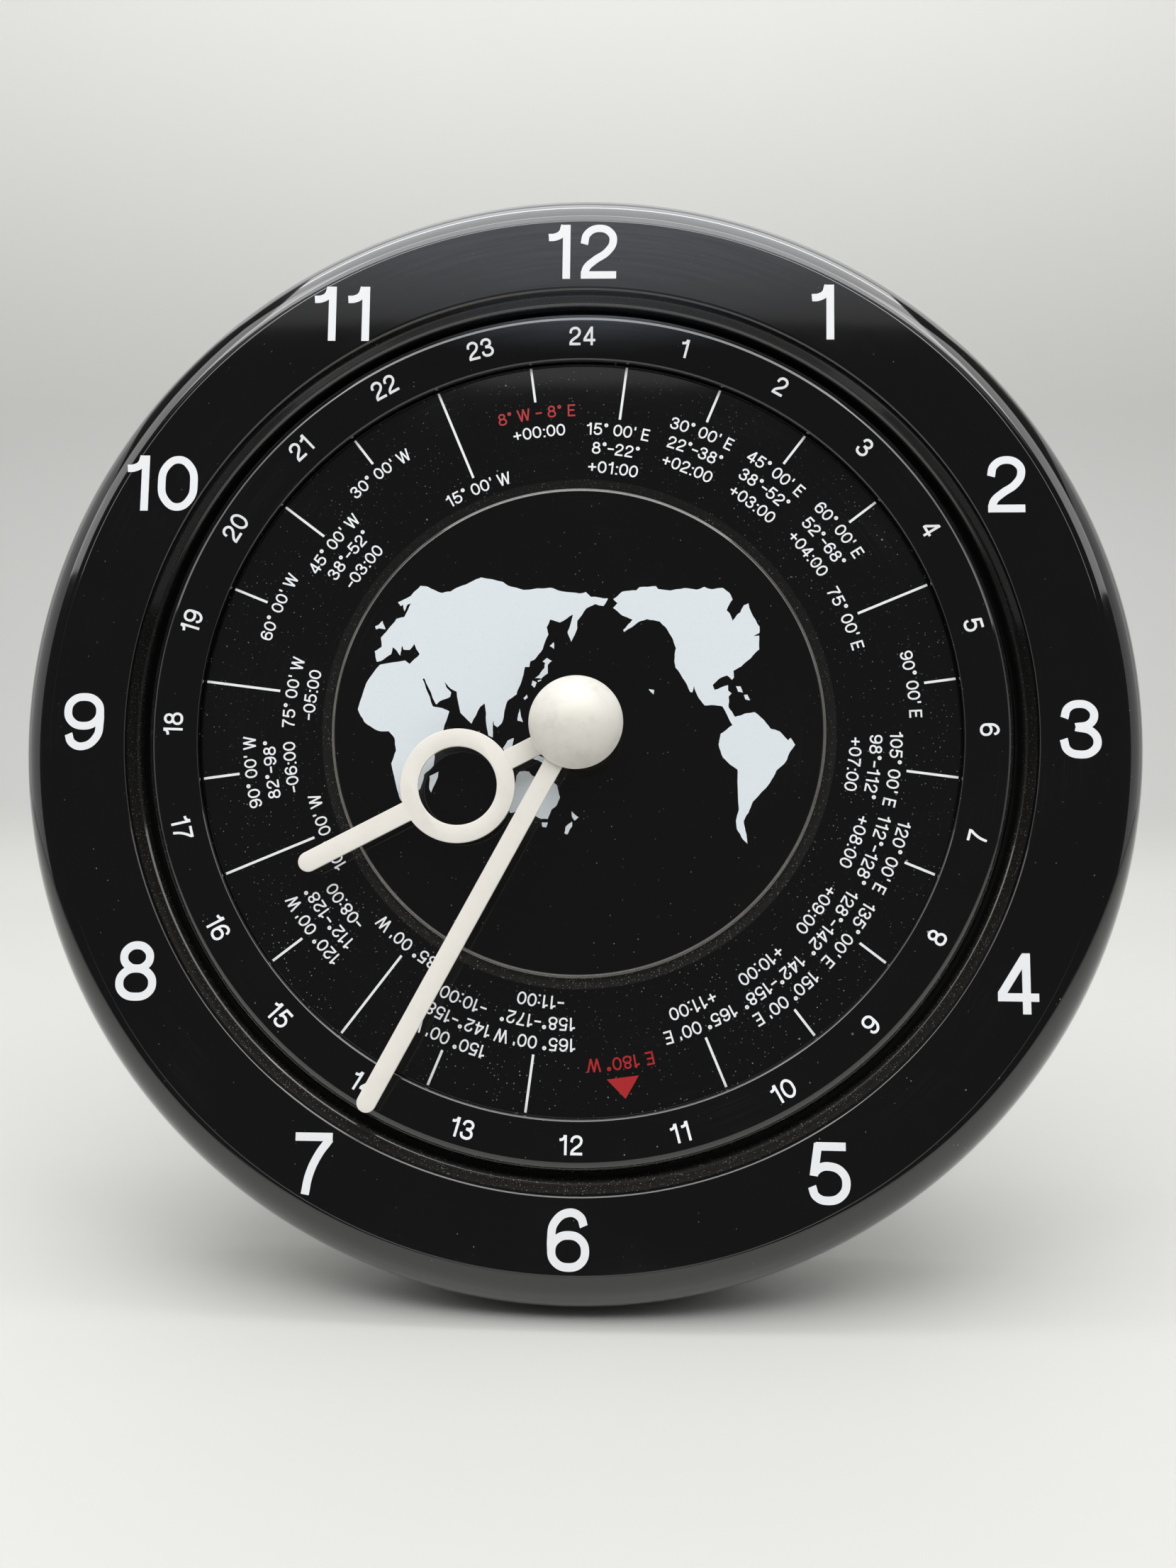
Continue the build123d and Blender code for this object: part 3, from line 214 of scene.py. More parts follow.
class ClockColours(bpy.types.PropertyGroup):
    """Colours of the clock's finishes"""

    black: colour("Black", "Gloss black of the frame and discs", 6, 6, 7)
    cover: colour("Cover", "Matte black of the rear cover and leg", 42, 42, 44)
    cream: colour("Cream", "Paint of the hands", 235, 231, 223)
    hub: colour("Hub", "Moulded cream of the domed cap", 232, 229, 220)
    white: colour("White", "Ink of the numerals and labels", 238, 240, 243)
    land: colour("Land", "Ink of the map", 222, 229, 234)
    red: colour("Red", "Ink of the two red marks", 172, 34, 38)
    dust: colour("Dust", "Settled dust", 190, 186, 178)
    # Painted sheen: the colour of a painted highlight near the top of the frame and the day ring, for reflected
    # overhead light
    film: colour("Film", "Wiped film on the polish", 150, 158, 172)
    steel: colour("Steel", "Plated steel", 200, 201, 203)
    brass: colour("Brass", "Turned brass", 214, 178, 104)
    copper: colour("Copper", "Enamelled wire", 196, 110, 66)
    acetal: colour("Acetal", "Wheels of the movement", 232, 231, 225)
    movement: colour("Movement", "Shells of the movement", 58, 58, 61)
    knob: colour("Knob", "Setting knob", 188, 52, 44)
    board: colour("Board", "Circuit board", 46, 120, 74)
    cell: colour("Cell", "Wrap of the dry cell", 52, 84, 140)
    cell_band: colour("Cell band", "Band at the cell's end", 206, 158, 84)
    rubber: colour("Rubber", "Feet and pad", 40, 40, 40)
    # The table and backdrop colours hold painted light and shade: painted shade over the table's front, and a
    # backdrop darker low down and paler high up
    floor: colour("Floor", "Table top", 209, 209, 206)
    shade: colour("Shade", "Front of the table, away from the light", 90, 90, 89)
    backdrop_low: colour("Backdrop, low", "Backdrop where it meets the table", 188, 188, 186)
    backdrop_high: colour("Backdrop, high", "Backdrop at the top of the view", 213, 213, 210)


class ClockStage(bpy.types.PropertyGroup):
    """The camera, in the face's frame, and the stage"""

    camera_place: FloatVectorProperty(
        name="Camera", description="Where the camera stands, in the face's frame", unit="LENGTH",
        default=(11.57 * mm, -39.96 * mm, 257.59 * mm),
    )
    camera_turn: FloatVectorProperty(
        name="Camera turn", description="Turn of the camera from looking straight at the face",
        default=(radians(6.25), radians(1.99), radians(0.64)), unit="ROTATION",
    )
    focal_share: FloatProperty(
        name="Focal share", description="Focal length as a share of the picture's height",
        default=1832.5 / 2212,
    )
    cove_start: length("Cove start", "From the clock back to where the table curves up", 350.0)
    cove_radius: length("Cove radius", "Radius of the curve between table and backdrop", 300.0)
    sheet_width: length("Width", "Width of the table and backdrop", 4200.0)
    sheet_front: length("Front", "From the clock forward to the table's edge", 1500.0)
    sheet_height: length("Height", "Height of the backdrop", 1900.0)
    shade_start: length("Shade start", "From the clock forward to where the shade begins", 450.0)
    shade_end: length("Shade end", "From the clock forward to where the table is dark", 1300.0)
    # Heights between which the sheet's painted shading changes, from the table into the darker cove and the paler
    # backdrop
    low_start: length("Low start", "Height where the table's colour starts to turn", -5.0)
    low_end: length("Low end", "Height where the backdrop has its low colour", 40.0)
    high_start: length("High start", "Height where the backdrop starts to turn pale", 250.0)
    high_end: length("High end", "Height where the backdrop has its high colour", 620.0)


# Width and strokes of the figures, one unit tall: how each stroke runs, then its points
STRAIGHT, CURVED, LOOP = "straight", "curved", "loop"
FIGURES = {
    "0": (0.80, [(LOOP, (0.38, 0.93), (0.60, 0.79), (0.665, 0.5), (0.60, 0.21), (0.38, 0.07),
                         (0.16, 0.21), (0.095, 0.5), (0.16, 0.79))]),
    "1": (0.60, [(STRAIGHT, (0.40, 0.0), (0.40, 1.0)),
                 (CURVED, (0.08, 0.765), (0.20, 0.775), (0.31, 0.84), (0.365, 0.985))]),
    "2": (0.80, [(CURVED, (0.115, 0.64), (0.17, 0.83), (0.38, 0.93), (0.59, 0.84), (0.63, 0.68),
                           (0.53, 0.50), (0.30, 0.335), (0.16, 0.20), (0.125, 0.075)),
                 (STRAIGHT, (0.06, 0.068), (0.69, 0.068))]),
    "3": (0.80, [(CURVED, (0.115, 0.69), (0.18, 0.86), (0.37, 0.932), (0.55, 0.87), (0.61, 0.735),
                           (0.53, 0.59), (0.30, 0.535)),
                 (CURVED, (0.30, 0.535), (0.57, 0.455), (0.655, 0.28), (0.57, 0.125), (0.36, 0.068),
                           (0.16, 0.14), (0.095, 0.33))]),
    "4": (0.80, [(STRAIGHT, (0.52, 0.0), (0.52, 1.0)), (STRAIGHT, (0.05, 0.275), (0.72, 0.275)),
                 (STRAIGHT, (0.50, 0.945), (0.105, 0.315))]),
    "5": (0.80, [(STRAIGHT, (0.16, 0.933), (0.65, 0.933)), (STRAIGHT, (0.20, 0.98), (0.125, 0.46)),
                 (CURVED, (0.125, 0.50), (0.22, 0.585), (0.37, 0.615), (0.58, 0.53), (0.655, 0.34),
                           (0.57, 0.145), (0.36, 0.068), (0.16, 0.135), (0.095, 0.29))]),
    "6": (0.80, [(LOOP, (0.39, 0.575), (0.59, 0.50), (0.66, 0.32), (0.59, 0.14), (0.39, 0.068),
                         (0.18, 0.14), (0.105, 0.32), (0.18, 0.50)),
                 (CURVED, (0.105, 0.32), (0.10, 0.50), (0.15, 0.77), (0.38, 0.933), (0.57, 0.87),
                           (0.635, 0.72))]),
    "7": (0.80, [(STRAIGHT, (0.08, 0.933), (0.70, 0.933)),
                 (CURVED, (0.655, 0.90), (0.47, 0.64), (0.33, 0.32), (0.27, 0.0))]),
    "8": (0.80, [(LOOP, (0.38, 0.933), (0.54, 0.87), (0.60, 0.735), (0.54, 0.60), (0.38, 0.54),
                         (0.22, 0.60), (0.16, 0.735), (0.22, 0.87)),
                 (LOOP, (0.38, 0.54), (0.585, 0.465), (0.66, 0.295), (0.585, 0.13), (0.38, 0.068),
                         (0.175, 0.13), (0.10, 0.295), (0.175, 0.465))]),
    "9": (0.80, [(LOOP, (0.37, 0.425), (0.17, 0.50), (0.10, 0.68), (0.17, 0.86), (0.37, 0.932),
                         (0.58, 0.86), (0.655, 0.68), (0.58, 0.50)),
                 (CURVED, (0.655, 0.68), (0.66, 0.50), (0.61, 0.23), (0.38, 0.067), (0.19, 0.13),
                           (0.125, 0.28))]),
    "+": (0.80, [(STRAIGHT, (0.38, 0.16), (0.38, 0.80)), (STRAIGHT, (0.06, 0.48), (0.70, 0.48))]),
    "-": (0.62, [(STRAIGHT, (0.06, 0.48), (0.56, 0.48))]),
    ".": (0.34, [(STRAIGHT, (0.09, 0.068), (0.25, 0.068))]),
    ":": (0.34, [(STRAIGHT, (0.09, 0.068), (0.25, 0.068)), (STRAIGHT, (0.09, 0.64), (0.25, 0.64))]),
    " ": (0.36, []),
    "'": (0.30, [(STRAIGHT, (0.15, 0.72), (0.15, 1.0))]),
    "°": (0.44, [(LOOP, (0.22, 0.94), (0.32, 0.84), (0.22, 0.74), (0.12, 0.84))]),
    "E": (0.78, [(STRAIGHT, (0.15, 0.0), (0.15, 1.0)), (STRAIGHT, (0.15, 0.933), (0.68, 0.933)),
                 (STRAIGHT, (0.15, 0.52), (0.62, 0.52)), (STRAIGHT, (0.15, 0.068), (0.69, 0.068))]),
    "W": (1.10, [(STRAIGHT, (0.08, 1.0), (0.32, 0.0)), (STRAIGHT, (0.32, 0.0), (0.55, 1.0)),
                 (STRAIGHT, (0.55, 1.0), (0.78, 0.0)), (STRAIGHT, (0.78, 0.0), (1.02, 1.0))]),
}
FIGURE_STROKE = 0.135

# Strokes lie on three levels, so that no two that cross share a face
STROKE_LIFT = 0.008 * mm
STROKE_LEVELS = 3

# Steps between two points of a curved stroke
HOUR_CURVE_STEPS = 8
DAY_CURVE_STEPS = 5
LABEL_CURVE_STEPS = 2

# Inner end of each zone's tick in millimetres and the rows of its label, clockwise from zero
TICK_ENDS = (
    70, 66, 70, 70, 70.5, 62, 71, 67, 71, 71, 71, 67, 70, 66, 70, 58, 70, 58, 70, 62, 70, 67, 71, 57.5
)
LABEL_ROWS = (2, 3, 3, 3, 3, 1, 1, 3, 3, 3, 3, 2, 1, 3, 3, 1, 3, 1, 3, 2, 1, 3, 1, 1)
DATE_ZONE = 12
ZONE_WIDTH = 15

# Hours of the 24 whose numerals stand with their feet towards the rim
FEET_OUT = range(7, 18)

# Coasts on the map disc, in millimetres from its middle
OLD_WORLD = (
    (-40.3, 13.7), (-41.4, 13.4), (-41.9, 15.6), (-40.5, 16.5), (-40.7, 18.5), (-39.4, 20),
    (-37.6, 22.4), (-36, 22.8), (-34.7, 25.7), (-35.4, 25.4), (-36, 24), (-36.3, 25.4),
    (-36.8, 25.1), (-37.4, 25.9), (-34.7, 27.3), (-32.8, 29.4), (-31.3, 29.2), (-28.4, 27.9),
    (-26.6, 28.2), (-22.3, 30.3), (-20.3, 31.2), (-15.8, 30.3), (-14.7, 29.5), (-11.5, 28.6),
    (-6, 29.1), (-3.9, 28.4), (0.1, 27.9), (1.4, 28.2), (2.4, 27.2), (5.9, 26.9), (5, 25.3),
    (3.3, 25.7), (1.5, 24.8), (-0.3, 22.2), (-0.3, 20.6), (-1.5, 17.8), (-2.3, 19.8), (-1.2, 23.5),
    (-3.9, 21.8), (-5.9, 22.4), (-6.6, 20.7), (-6.2, 19.3), (-7.3, 16.3), (-8.9, 14.1),
    (-9.8, 13.7), (-10, 12.5), (-10.9, 12.5), (-11.6, 9.3), (-12.5, 6.8), (-14.3, 5.5),
    (-14.9, 3.5), (-15.4, 0.9), (-16.3, 0), (-17, 0.5), (-17.2, 1.4), (-17.2, -2.1), (-18.1, -1.7),
    (-18.7, 2), (-19, 4.9), (-19.9, 4.2), (-21.6, 0.7), (-23.9, 2.9), (-24.8, 7.3), (-25.7, 7.7),
    (-27.3, 9.3), (-26.9, 8.1), (-25.9, 7.1), (-26.1, 6.2), (-28.2, 5.3), (-28.9, 4.6), (-29.7, 6),
    (-31.5, 10), (-31.9, 9.9), (-30.3, 6.2), (-29.6, 4.2), (-27.5, 3.8), (-26.2, 3.2),
    (-27.3, -0.6), (-29, -5.7), (-29.1, -7.9), (-31, -9.8), (-31.7, -12.7), (-33.5, -14.5),
    (-35.5, -15.3), (-36.4, -13.1), (-37.8, -7.6), (-36.9, -5), (-37.3, -2.4), (-38.5, -1),
    (-40.7, -0.9), (-43.6, 0.9), (-45, 3.5), (-43.4, 9), (-40.7, 12.8), (-35.6, 13.7), (-34.6, 13),
    (-32.6, 15), (-33.8, 17.2), (-34.7, 15.9), (-36, 16), (-36.3, 16.8), (-36.6, 14.7), (-37.6, 16),
    (-38.2, 16.5), (-38.5, 15),
)
NEW_WORLD = (
    (7, 26.8), (8.8, 28.3), (11.7, 28.6), (12.4, 29.3), (15.7, 29.5), (16.2, 28.9), (18.6, 28.6),
    (21.4, 29.1), (24, 28.8), (25.6, 29.4), (27.2, 28.9), (29.4, 29.2), (30.8, 28.1), (31.4, 26.8),
    (30.2, 24.5), (30.8, 23.9), (31.4, 22.3), (32.3, 23.6), (33, 24.1), (33.7, 25.6), (34.6, 26),
    (35.2, 24.1), (36.9, 21.1), (36.8, 19.8), (35.7, 19.2), (36.8, 19.3), (36.8, 16.4),
    (35.2, 14.7), (33.2, 12.9), (31.6, 12), (31.7, 10.6), (31.3, 10.1), (30.3, 11), (28.8, 10.4),
    (27.4, 9), (27.8, 8), (29, 8.5), (30.5, 9), (30.5, 7.9), (31.2, 7.3), (30.6, 6.6), (30.6, 4.5),
    (31.9, 2.5), (33.9, 3.2), (35.9, 3.5), (37.3, 2.3), (39.1, 0.1), (40.9, -0.4), (42.6, -2.2),
    (43.1, -1.7), (44, -3.1), (42.7, -5.1), (42.2, -6.4), (40.2, -8.4), (38.9, -10.9),
    (35.5, -14.7), (34.6, -17), (33.7, -18.5), (34, -20.6), (34.4, -23.2), (33.5, -22.3),
    (32.3, -20.3), (32.1, -18.6), (32.7, -16.3), (32.4, -10.5), (32.4, -8.2), (31, -7.3),
    (29.5, -5.8), (28.6, -3.1), (29, -1), (31.4, 0.8), (29.4, 4.6), (28.3, 4.8), (25.8, 4.8),
    (24.3, 6.8), (23.6, 8.9), (23.3, 7.5), (22.9, 7.5), (21.8, 9.7), (19.8, 12.6), (19.6, 14),
    (19.9, 16.6), (19.3, 18.4), (17.8, 20.9), (16.6, 22.1), (13.9, 22.6), (12.2, 22), (9.3, 19.9),
    (9.1, 20.3), (11, 22.5), (8.8, 23.4), (7, 24.9), (7.9, 25.9),
)
AUSTRALIA = (
    (-12.2, -9.9), (-11.5, -9), (-9.7, -9), (-8.9, -9.9), (-7.7, -10.1), (-7.3, -8.7), (-6.4, -9.4),
    (-3.9, -11.8), (-3.3, -14.2), (-4.1, -16), (-5, -16.7), (-5.7, -18.6), (-7.1, -18.6),
    (-9.3, -17.5), (-11.1, -16.7), (-13.3, -17.5), (-13.8, -16), (-14.5, -13.4), (-13.3, -12.3),
    (-12.4, -11.4),
)
ISLANDS = (
    ((-42, 20.8), (-41.2, 21.2), (-40.5, 22), (-39.8, 20.2), (-41.1, 20.4), (-41.8, 20.2)),
    ((-6.4, 14.4), (-5.4, 13.8), (-6.2, 13), (-6.2, 11.2), (-7.5, 10.1), (-8.8, 10.2), (-7.9, 10.9),
     (-6.9, 12.3), (-6.8, 13.4), (-7.3, 13.6)),
    ((-8.1, 9.4), (-7.4, 9.8), (-7.7, 9.9), (-8.3, 9.7)),
    ((-9.3, 9.7), (-8.4, 9.3), (-8.9, 8.2), (-9.5, 8.8)),
    ((-11.1, 6), (-10.4, 6.8), (-10.2, 6.2), (-10.8, 5.7)),
    ((-5.9, 16.9), (-5.1, 17.7), (-5, 16.3)),
    ((-11.8, 3.9), (-11.6, 2.7), (-11.1, 1.1), (-12.2, 1.4), (-12.1, 2.7)),
    ((-12.9, -2.2), (-13.3, -4.3), (-14.5, -5.2), (-15.1, -4.3), (-14.2, -2.8)),
    ((-18.3, -2.9), (-17.5, -3.1), (-15.8, -5.7), (-16.3, -6), (-18, -3.8)),
    ((-8.9, -6.4), (-7.9, -5.7), (-6, -6.5), (-4.2, -7.9), (-5.7, -8.1), (-7.5, -6.9)),
    ((-6.9, -19.3), (-5.7, -19.3), (-6, -20.3), (-6.8, -20.2)),
    ((-0.9, -17), (0.5, -18.2), (-0.3, -18.9), (-0.8, -18.2)),
    ((-0.8, -19.1), (-0.8, -20.1), (-1.7, -21.7), (-2.3, -21.5), (-2.1, -20.2)),
    ((-28.1, -9.2), (-28.2, -10.3), (-29.5, -13.5), (-29.9, -12.7), (-29.9, -10.1)),
    ((14.4, 8.1), (15.5, 7.9), (15.4, 7)),
    ((32.1, 8.8), (33, 8.8), (33.5, 7.5), (32.5, 7.7)),
    ((33.7, 7), (34.4, 7.1), (34.9, 5.9), (34, 6.1)),
)

# Small bends of the coasts: their height as a share of the stretch, and which stretches get one
COAST_ROUNDS = 2
COAST_BEND = 0.055
COAST_SHORTEST = 0.6 * mm
COAST_LONGEST = 2 * mm


class Field:
    """A shader value that takes part in Python expressions, each of which adds Math nodes."""

    def __init__(self, finish, socket):
        self.finish = finish
        self.socket = socket

    def maths(self, operation, *values):
        """A Math node of one operation on these values."""
        return self.finish.node("ShaderNodeMath", {"operation": operation}, dict(enumerate(values)))

    def __add__(self, other):
        return self.maths("ADD", self, other)

    def __sub__(self, other):
        return self.maths("SUBTRACT", self, other)

    def __rsub__(self, other):
        return self.maths("SUBTRACT", other, self)

    def __mul__(self, other):
        return self.maths("MULTIPLY", self, other)

    def __truediv__(self, other):
        return self.maths("DIVIDE", self, other)

    def __pow__(self, other):
        return self.maths("POWER", self, other)

    __radd__ = __add__
    __rmul__ = __mul__

    def ramp(self, low, high):
        """This value as a smooth share, from 0 at low to 1 at high."""
        if low > high:
            return 1 - self.ramp(high, low)
        return self.finish.node(
            "ShaderNodeMapRange", {"interpolation_type": "SMOOTHSTEP"},
            {"Value": self, "From Min": low, "From Max": high},
        )


class Finish:
    """One material while it is being made."""

    def __init__(self, name):
        self.material = bpy.data.materials.new(name)
        self.material.use_nodes = True
        self.tree = self.material.node_tree
        self.tree.nodes.clear()

    def node(self, kind, settings, inputs, output=""):
        """A node of this kind, with its settings made first and then its sockets set or linked."""
        node = self.tree.nodes.new(kind)
        for key, value in settings.items():
            setattr(node, key, value)
        for key, value in inputs.items():
            found = next(
                socket for number, socket in enumerate(node.inputs)
                if socket.enabled and key in (number, socket.name)
            )
            if isinstance(value, Field):
                self.tree.links.new(value.socket, found)
            else:
                found.default_value = value
        shown = [socket for socket in node.outputs if socket.enabled]
        named = [socket for socket in shown if socket.name == output]
        return Field(self, (named + shown)[0]) if shown else None

    def place(self):
        """Where a point lies in the face's frame, in millimetres."""
        where = self.node("ShaderNodeTexCoord", {}, {}, "Object")
        back = face_to_world.inverted()
        return self.node("ShaderNodeMapping", {"vector_type": "POINT"}, {
            "Vector": where, "Location": back.to_translation() / mm,
            "Rotation": back.to_euler(), "Scale": (1 / mm, 1 / mm, 1 / mm),
        })

    def split(self, vector):
        """The three numbers of a vector."""
        return [self.node("ShaderNodeSeparateXYZ", {}, {"Vector": vector}, axis) for axis in "XYZ"]

    def join(self, x, y, z):
        """A vector of three numbers."""
        return self.node("ShaderNodeCombineXYZ", {}, {"X": x, "Y": y, "Z": z})

    def noise(self, where, scale, detail=3.0, roughness=0.55):
        """Smooth noise from 0 to 1, with this many lumps in a millimetre."""
        return self.node("ShaderNodeTexNoise", {}, {
            "Vector": where, "Scale": scale, "Detail": detail, "Roughness": roughness,
        })

    def specks(self, where, spacing, size, share):
        """A mask of small round specks: one in so many millimetres, of which a share is there."""
        settings = {"voronoi_dimensions": "3D", "feature": "F1"}
        inputs = {"Vector": where, "Scale": 1 / spacing}
        distance = self.node("ShaderNodeTexVoronoi", settings, inputs, "Distance")
        chance, spread, _ = self.split(self.node("ShaderNodeTexVoronoi", settings, inputs, "Color"))
        reach = (0.3 + spread * 0.7) * (size / spacing)
        return (distance / reach).ramp(1.0, 0.6) * chance.ramp(1 - share, 1 - share + 0.01)

    def mix(self, share, first, second):
        """A colour between two, where first and second are colours or fields."""
        return self.node(
            "ShaderNodeMix", {"data_type": "RGBA"},
            {"Factor": share, "A": self.paint(first), "B": self.paint(second)},
        )

    def paint(self, value):
        """A colour socket's value, with its alpha."""
        return value if isinstance(value, Field) else (*value, 1.0)

    def done(self, base, roughness, bump=None, bump_depth=0.0, **constants):
        """Finish the material with its shader, and give it back."""
        inputs = {"Base Color": self.paint(base), "Roughness": roughness}
        inputs.update({key.replace("_", " "): value for key, value in constants.items()})
        if bump is not None:
            inputs["Normal"] = self.node(
                "ShaderNodeBump", {}, {"Strength": 1.0, "Distance": bump_depth * mm, "Height": bump}
            )
        shader = self.node("ShaderNodeBsdfPrincipled", {}, inputs)
        self.node("ShaderNodeOutputMaterial", {}, {"Surface": shader})
        return self.material


def colours():
    """The colours set in the sidebar."""
    return bpy.context.scene.clock_colours


def shaded(paint, share):
    """A colour with its levels brought down to a share."""
    return [level * share for level in paint]


# Heights on the face, in millimetres, between which dust thickens downwards and a painted sheen, standing in for
# overhead light reflected in the polish, thickens upwards
DUST_HEIGHTS = (40.0, -85.0)
SHEEN_HEIGHTS = (78.0, 106.0)


def gloss_black(name, specks_share, dust_and_highlight_band, haze_and_highlight, film=0.0):
    """Polished black moulding with smears, hairlines and dust, more of it in one band, and a painted sheen at the
    top.
    """
    finish = Finish(name)
    where = finish.place()
    x, y, _ = finish.split(where)
    radius = (x * x + y * y) ** 0.5
    turn = finish.node("ShaderNodeMath", {"operation": "ARCTAN2"}, {0: x, 1: y})
    hairlines = finish.noise(finish.join(radius * 2.2, turn * 1.6, 0.0), 1.0, 4.0, 0.7)
    smear = finish.noise(where, 0.035, 5.0, 0.6).ramp(0.45, 0.75)
    patches = finish.noise(where, 0.05, 3.0, 0.6).ramp(0.35, 0.7)
    low = y.ramp(*DUST_HEIGHTS)
    specks = finish.specks(where, 0.8, 0.17, specks_share) * (0.2 + 0.8 * patches)
    motes = finish.specks(where, 5.0, 0.32, specks_share)
    inner, outer = dust_and_highlight_band
    # In this band the colour turns pale as dust; on the map disc's bevel it is also a painted highlight line
    band = radius.ramp(inner - 0.2, inner + 0.1) * radius.ramp(outer + 0.2, outer - 0.1)
    powder = finish.specks(where, 0.42, 0.16, 0.6) * (0.2 + 0.8 * low)
    dust = (specks + motes) * (0.5 + 0.5 * low) + band * (powder * 0.5 + haze_and_highlight * (0.4 + 0.6 * low))
    dust = finish.node("ShaderNodeClamp", {}, {"Value": dust})
    wiped = hairlines.ramp(0.45, 0.75) * smear
    sheen_streaks = finish.noise(finish.join(x * 0.05, radius * 1.1, 0.0), 1.0, 4.0, 0.6)
    # Painted sheen: a pale, streaky colour near the top of the face that stands in for overhead light reflected in
    # the polish
    top = (y - 0.12 * x * x / 100.0).ramp(*SHEEN_HEIGHTS)
    sheened = finish.mix(film * top * (0.4 + 1.2 * sheen_streaks), colours().black, colours().film)
    paint = finish.mix(dust * 0.6 + wiped * 0.012, sheened, colours().dust)
    rough = 0.06 + 0.05 * smear + 0.05 * hairlines.ramp(0.5, 0.8) + 0.4 * dust
    peel = finish.noise(where, 0.22, 1.0, 0.4)
    grain = peel + 0.05 * hairlines
    return finish.done(paint, rough, grain, 0.004, IOR=1.5, Coat_Weight=1.0, Coat_Roughness=0.05)


def moulded(name, paint, rough, grain_scale, grain_depth, tint=0.12):
    """Moulded plastic with a fine grain and a little unevenness in its colour."""
    finish = Finish(name)
    where = finish.place()
    full = getattr(colours(), paint)
    grain = finish.noise(where, grain_scale, 3.0, 0.6)
    cloud = finish.noise(where, 0.06, 4.0, 0.6)
    scuffs = finish.noise(where, 0.5, 4.0, 0.7).ramp(0.55, 0.8)
    base = finish.mix(cloud.ramp(0.3, 0.7), shaded(full, 1 - tint), full)
    return finish.done(base, rough + 0.08 * grain - 0.07 * scuffs, grain, grain_depth, IOR=1.49)


def painted(name, paint, rough, grime, grime_share, bump_scale, bump_depth):
    """Flat paint or a pale moulding, with faint handling marks."""
    finish = Finish(name)
    where = finish.place()
    cloud = finish.noise(where, 0.18, 5.0, 0.65).ramp(0.42, 0.78)
    spots = finish.specks(where, 1.3, 0.3, 0.18)
    dirt = finish.node("ShaderNodeClamp", {}, {"Value": cloud * grime_share + spots * grime_share})
    grain = finish.noise(where, bump_scale, 3.0, 0.6)
    base = finish.mix(dirt, getattr(colours(), paint), grime)
    return finish.done(base, rough + 0.12 * cloud, grain, bump_depth, IOR=1.47)


def ink(name, paint, speckle):
    """Screen ink with a faint mesh of thin spots."""
    finish = Finish(name)
    where = finish.place()
    full = getattr(colours(), paint)
    thin = finish.noise(where, 1.9, 3.0, 0.7).ramp(0.52, 0.8)
    base = finish.mix(thin * speckle, full, shaded(full, 0.55))
    return finish.done(base, 0.42 + 0.15 * thin, thin, 0.006, IOR=1.45)


def metal(name, paint, rough, scratch, along=(1.0, 1.0, 1.0), share=1.0):
    """Worked metal, with fine lines along one direction of the face's frame."""
    finish = Finish(name)
    where = finish.place()
    full = shaded(getattr(colours(), paint), share)
    stretched = finish.node(
        "ShaderNodeMapping", {"vector_type": "POINT"}, {"Vector": where, "Scale": along}
    )
    lines = finish.noise(stretched, 3.0, 4.0, 0.7)
    cloud = finish.noise(where, 0.2, 3.0, 0.6)
    base = finish.mix(cloud.ramp(0.35, 0.7) * 0.5, full, shaded(full, 0.72))
    return finish.done(base, rough + scratch * lines, lines, 0.006, Metallic=1.0)


def wound_wire(name):
    """Enamelled wire, wound side by side along the bobbin, with painted shade in the grooves between the turns."""
    wire = 0.25
    finish = Finish(name)
    where = finish.place()
    x, _, _ = finish.split(where)
    turns = finish.node("ShaderNodeMath", {"operation": "SINE"}, {0: x * (2 * pi / wire)})
    # The colour darkens in the grooves between the turns: painted shade
    base = finish.mix(turns.ramp(-1.0, 0.2), shaded(colours().copper, 0.45), colours().copper)
    return finish.done(base, 0.3 + 0.1 * finish.noise(where, 1.5), turns, 0.05, Metallic=0.9)


def wrapped_cell(name):
    """Plain wrap of the dry cell, with a band at its positive end."""
    band_share = 0.76
    finish = Finish(name)
    where = finish.place()
    x, _, _ = finish.split(where)
    low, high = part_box("dry_cell")
    band = (low.x + band_share * (high.x - low.x)) / mm
    scuffs = finish.noise(where, 0.6, 4.0, 0.7).ramp(0.6, 0.85)
    wrap = finish.mix(x.ramp(band - 0.05, band + 0.05), colours().cell, colours().cell_band)
    base = finish.mix(scuffs * 0.35, wrap, colours().steel)
    return finish.done(base, 0.25 + 0.2 * scuffs, scuffs, 0.01, Metallic=0.55)
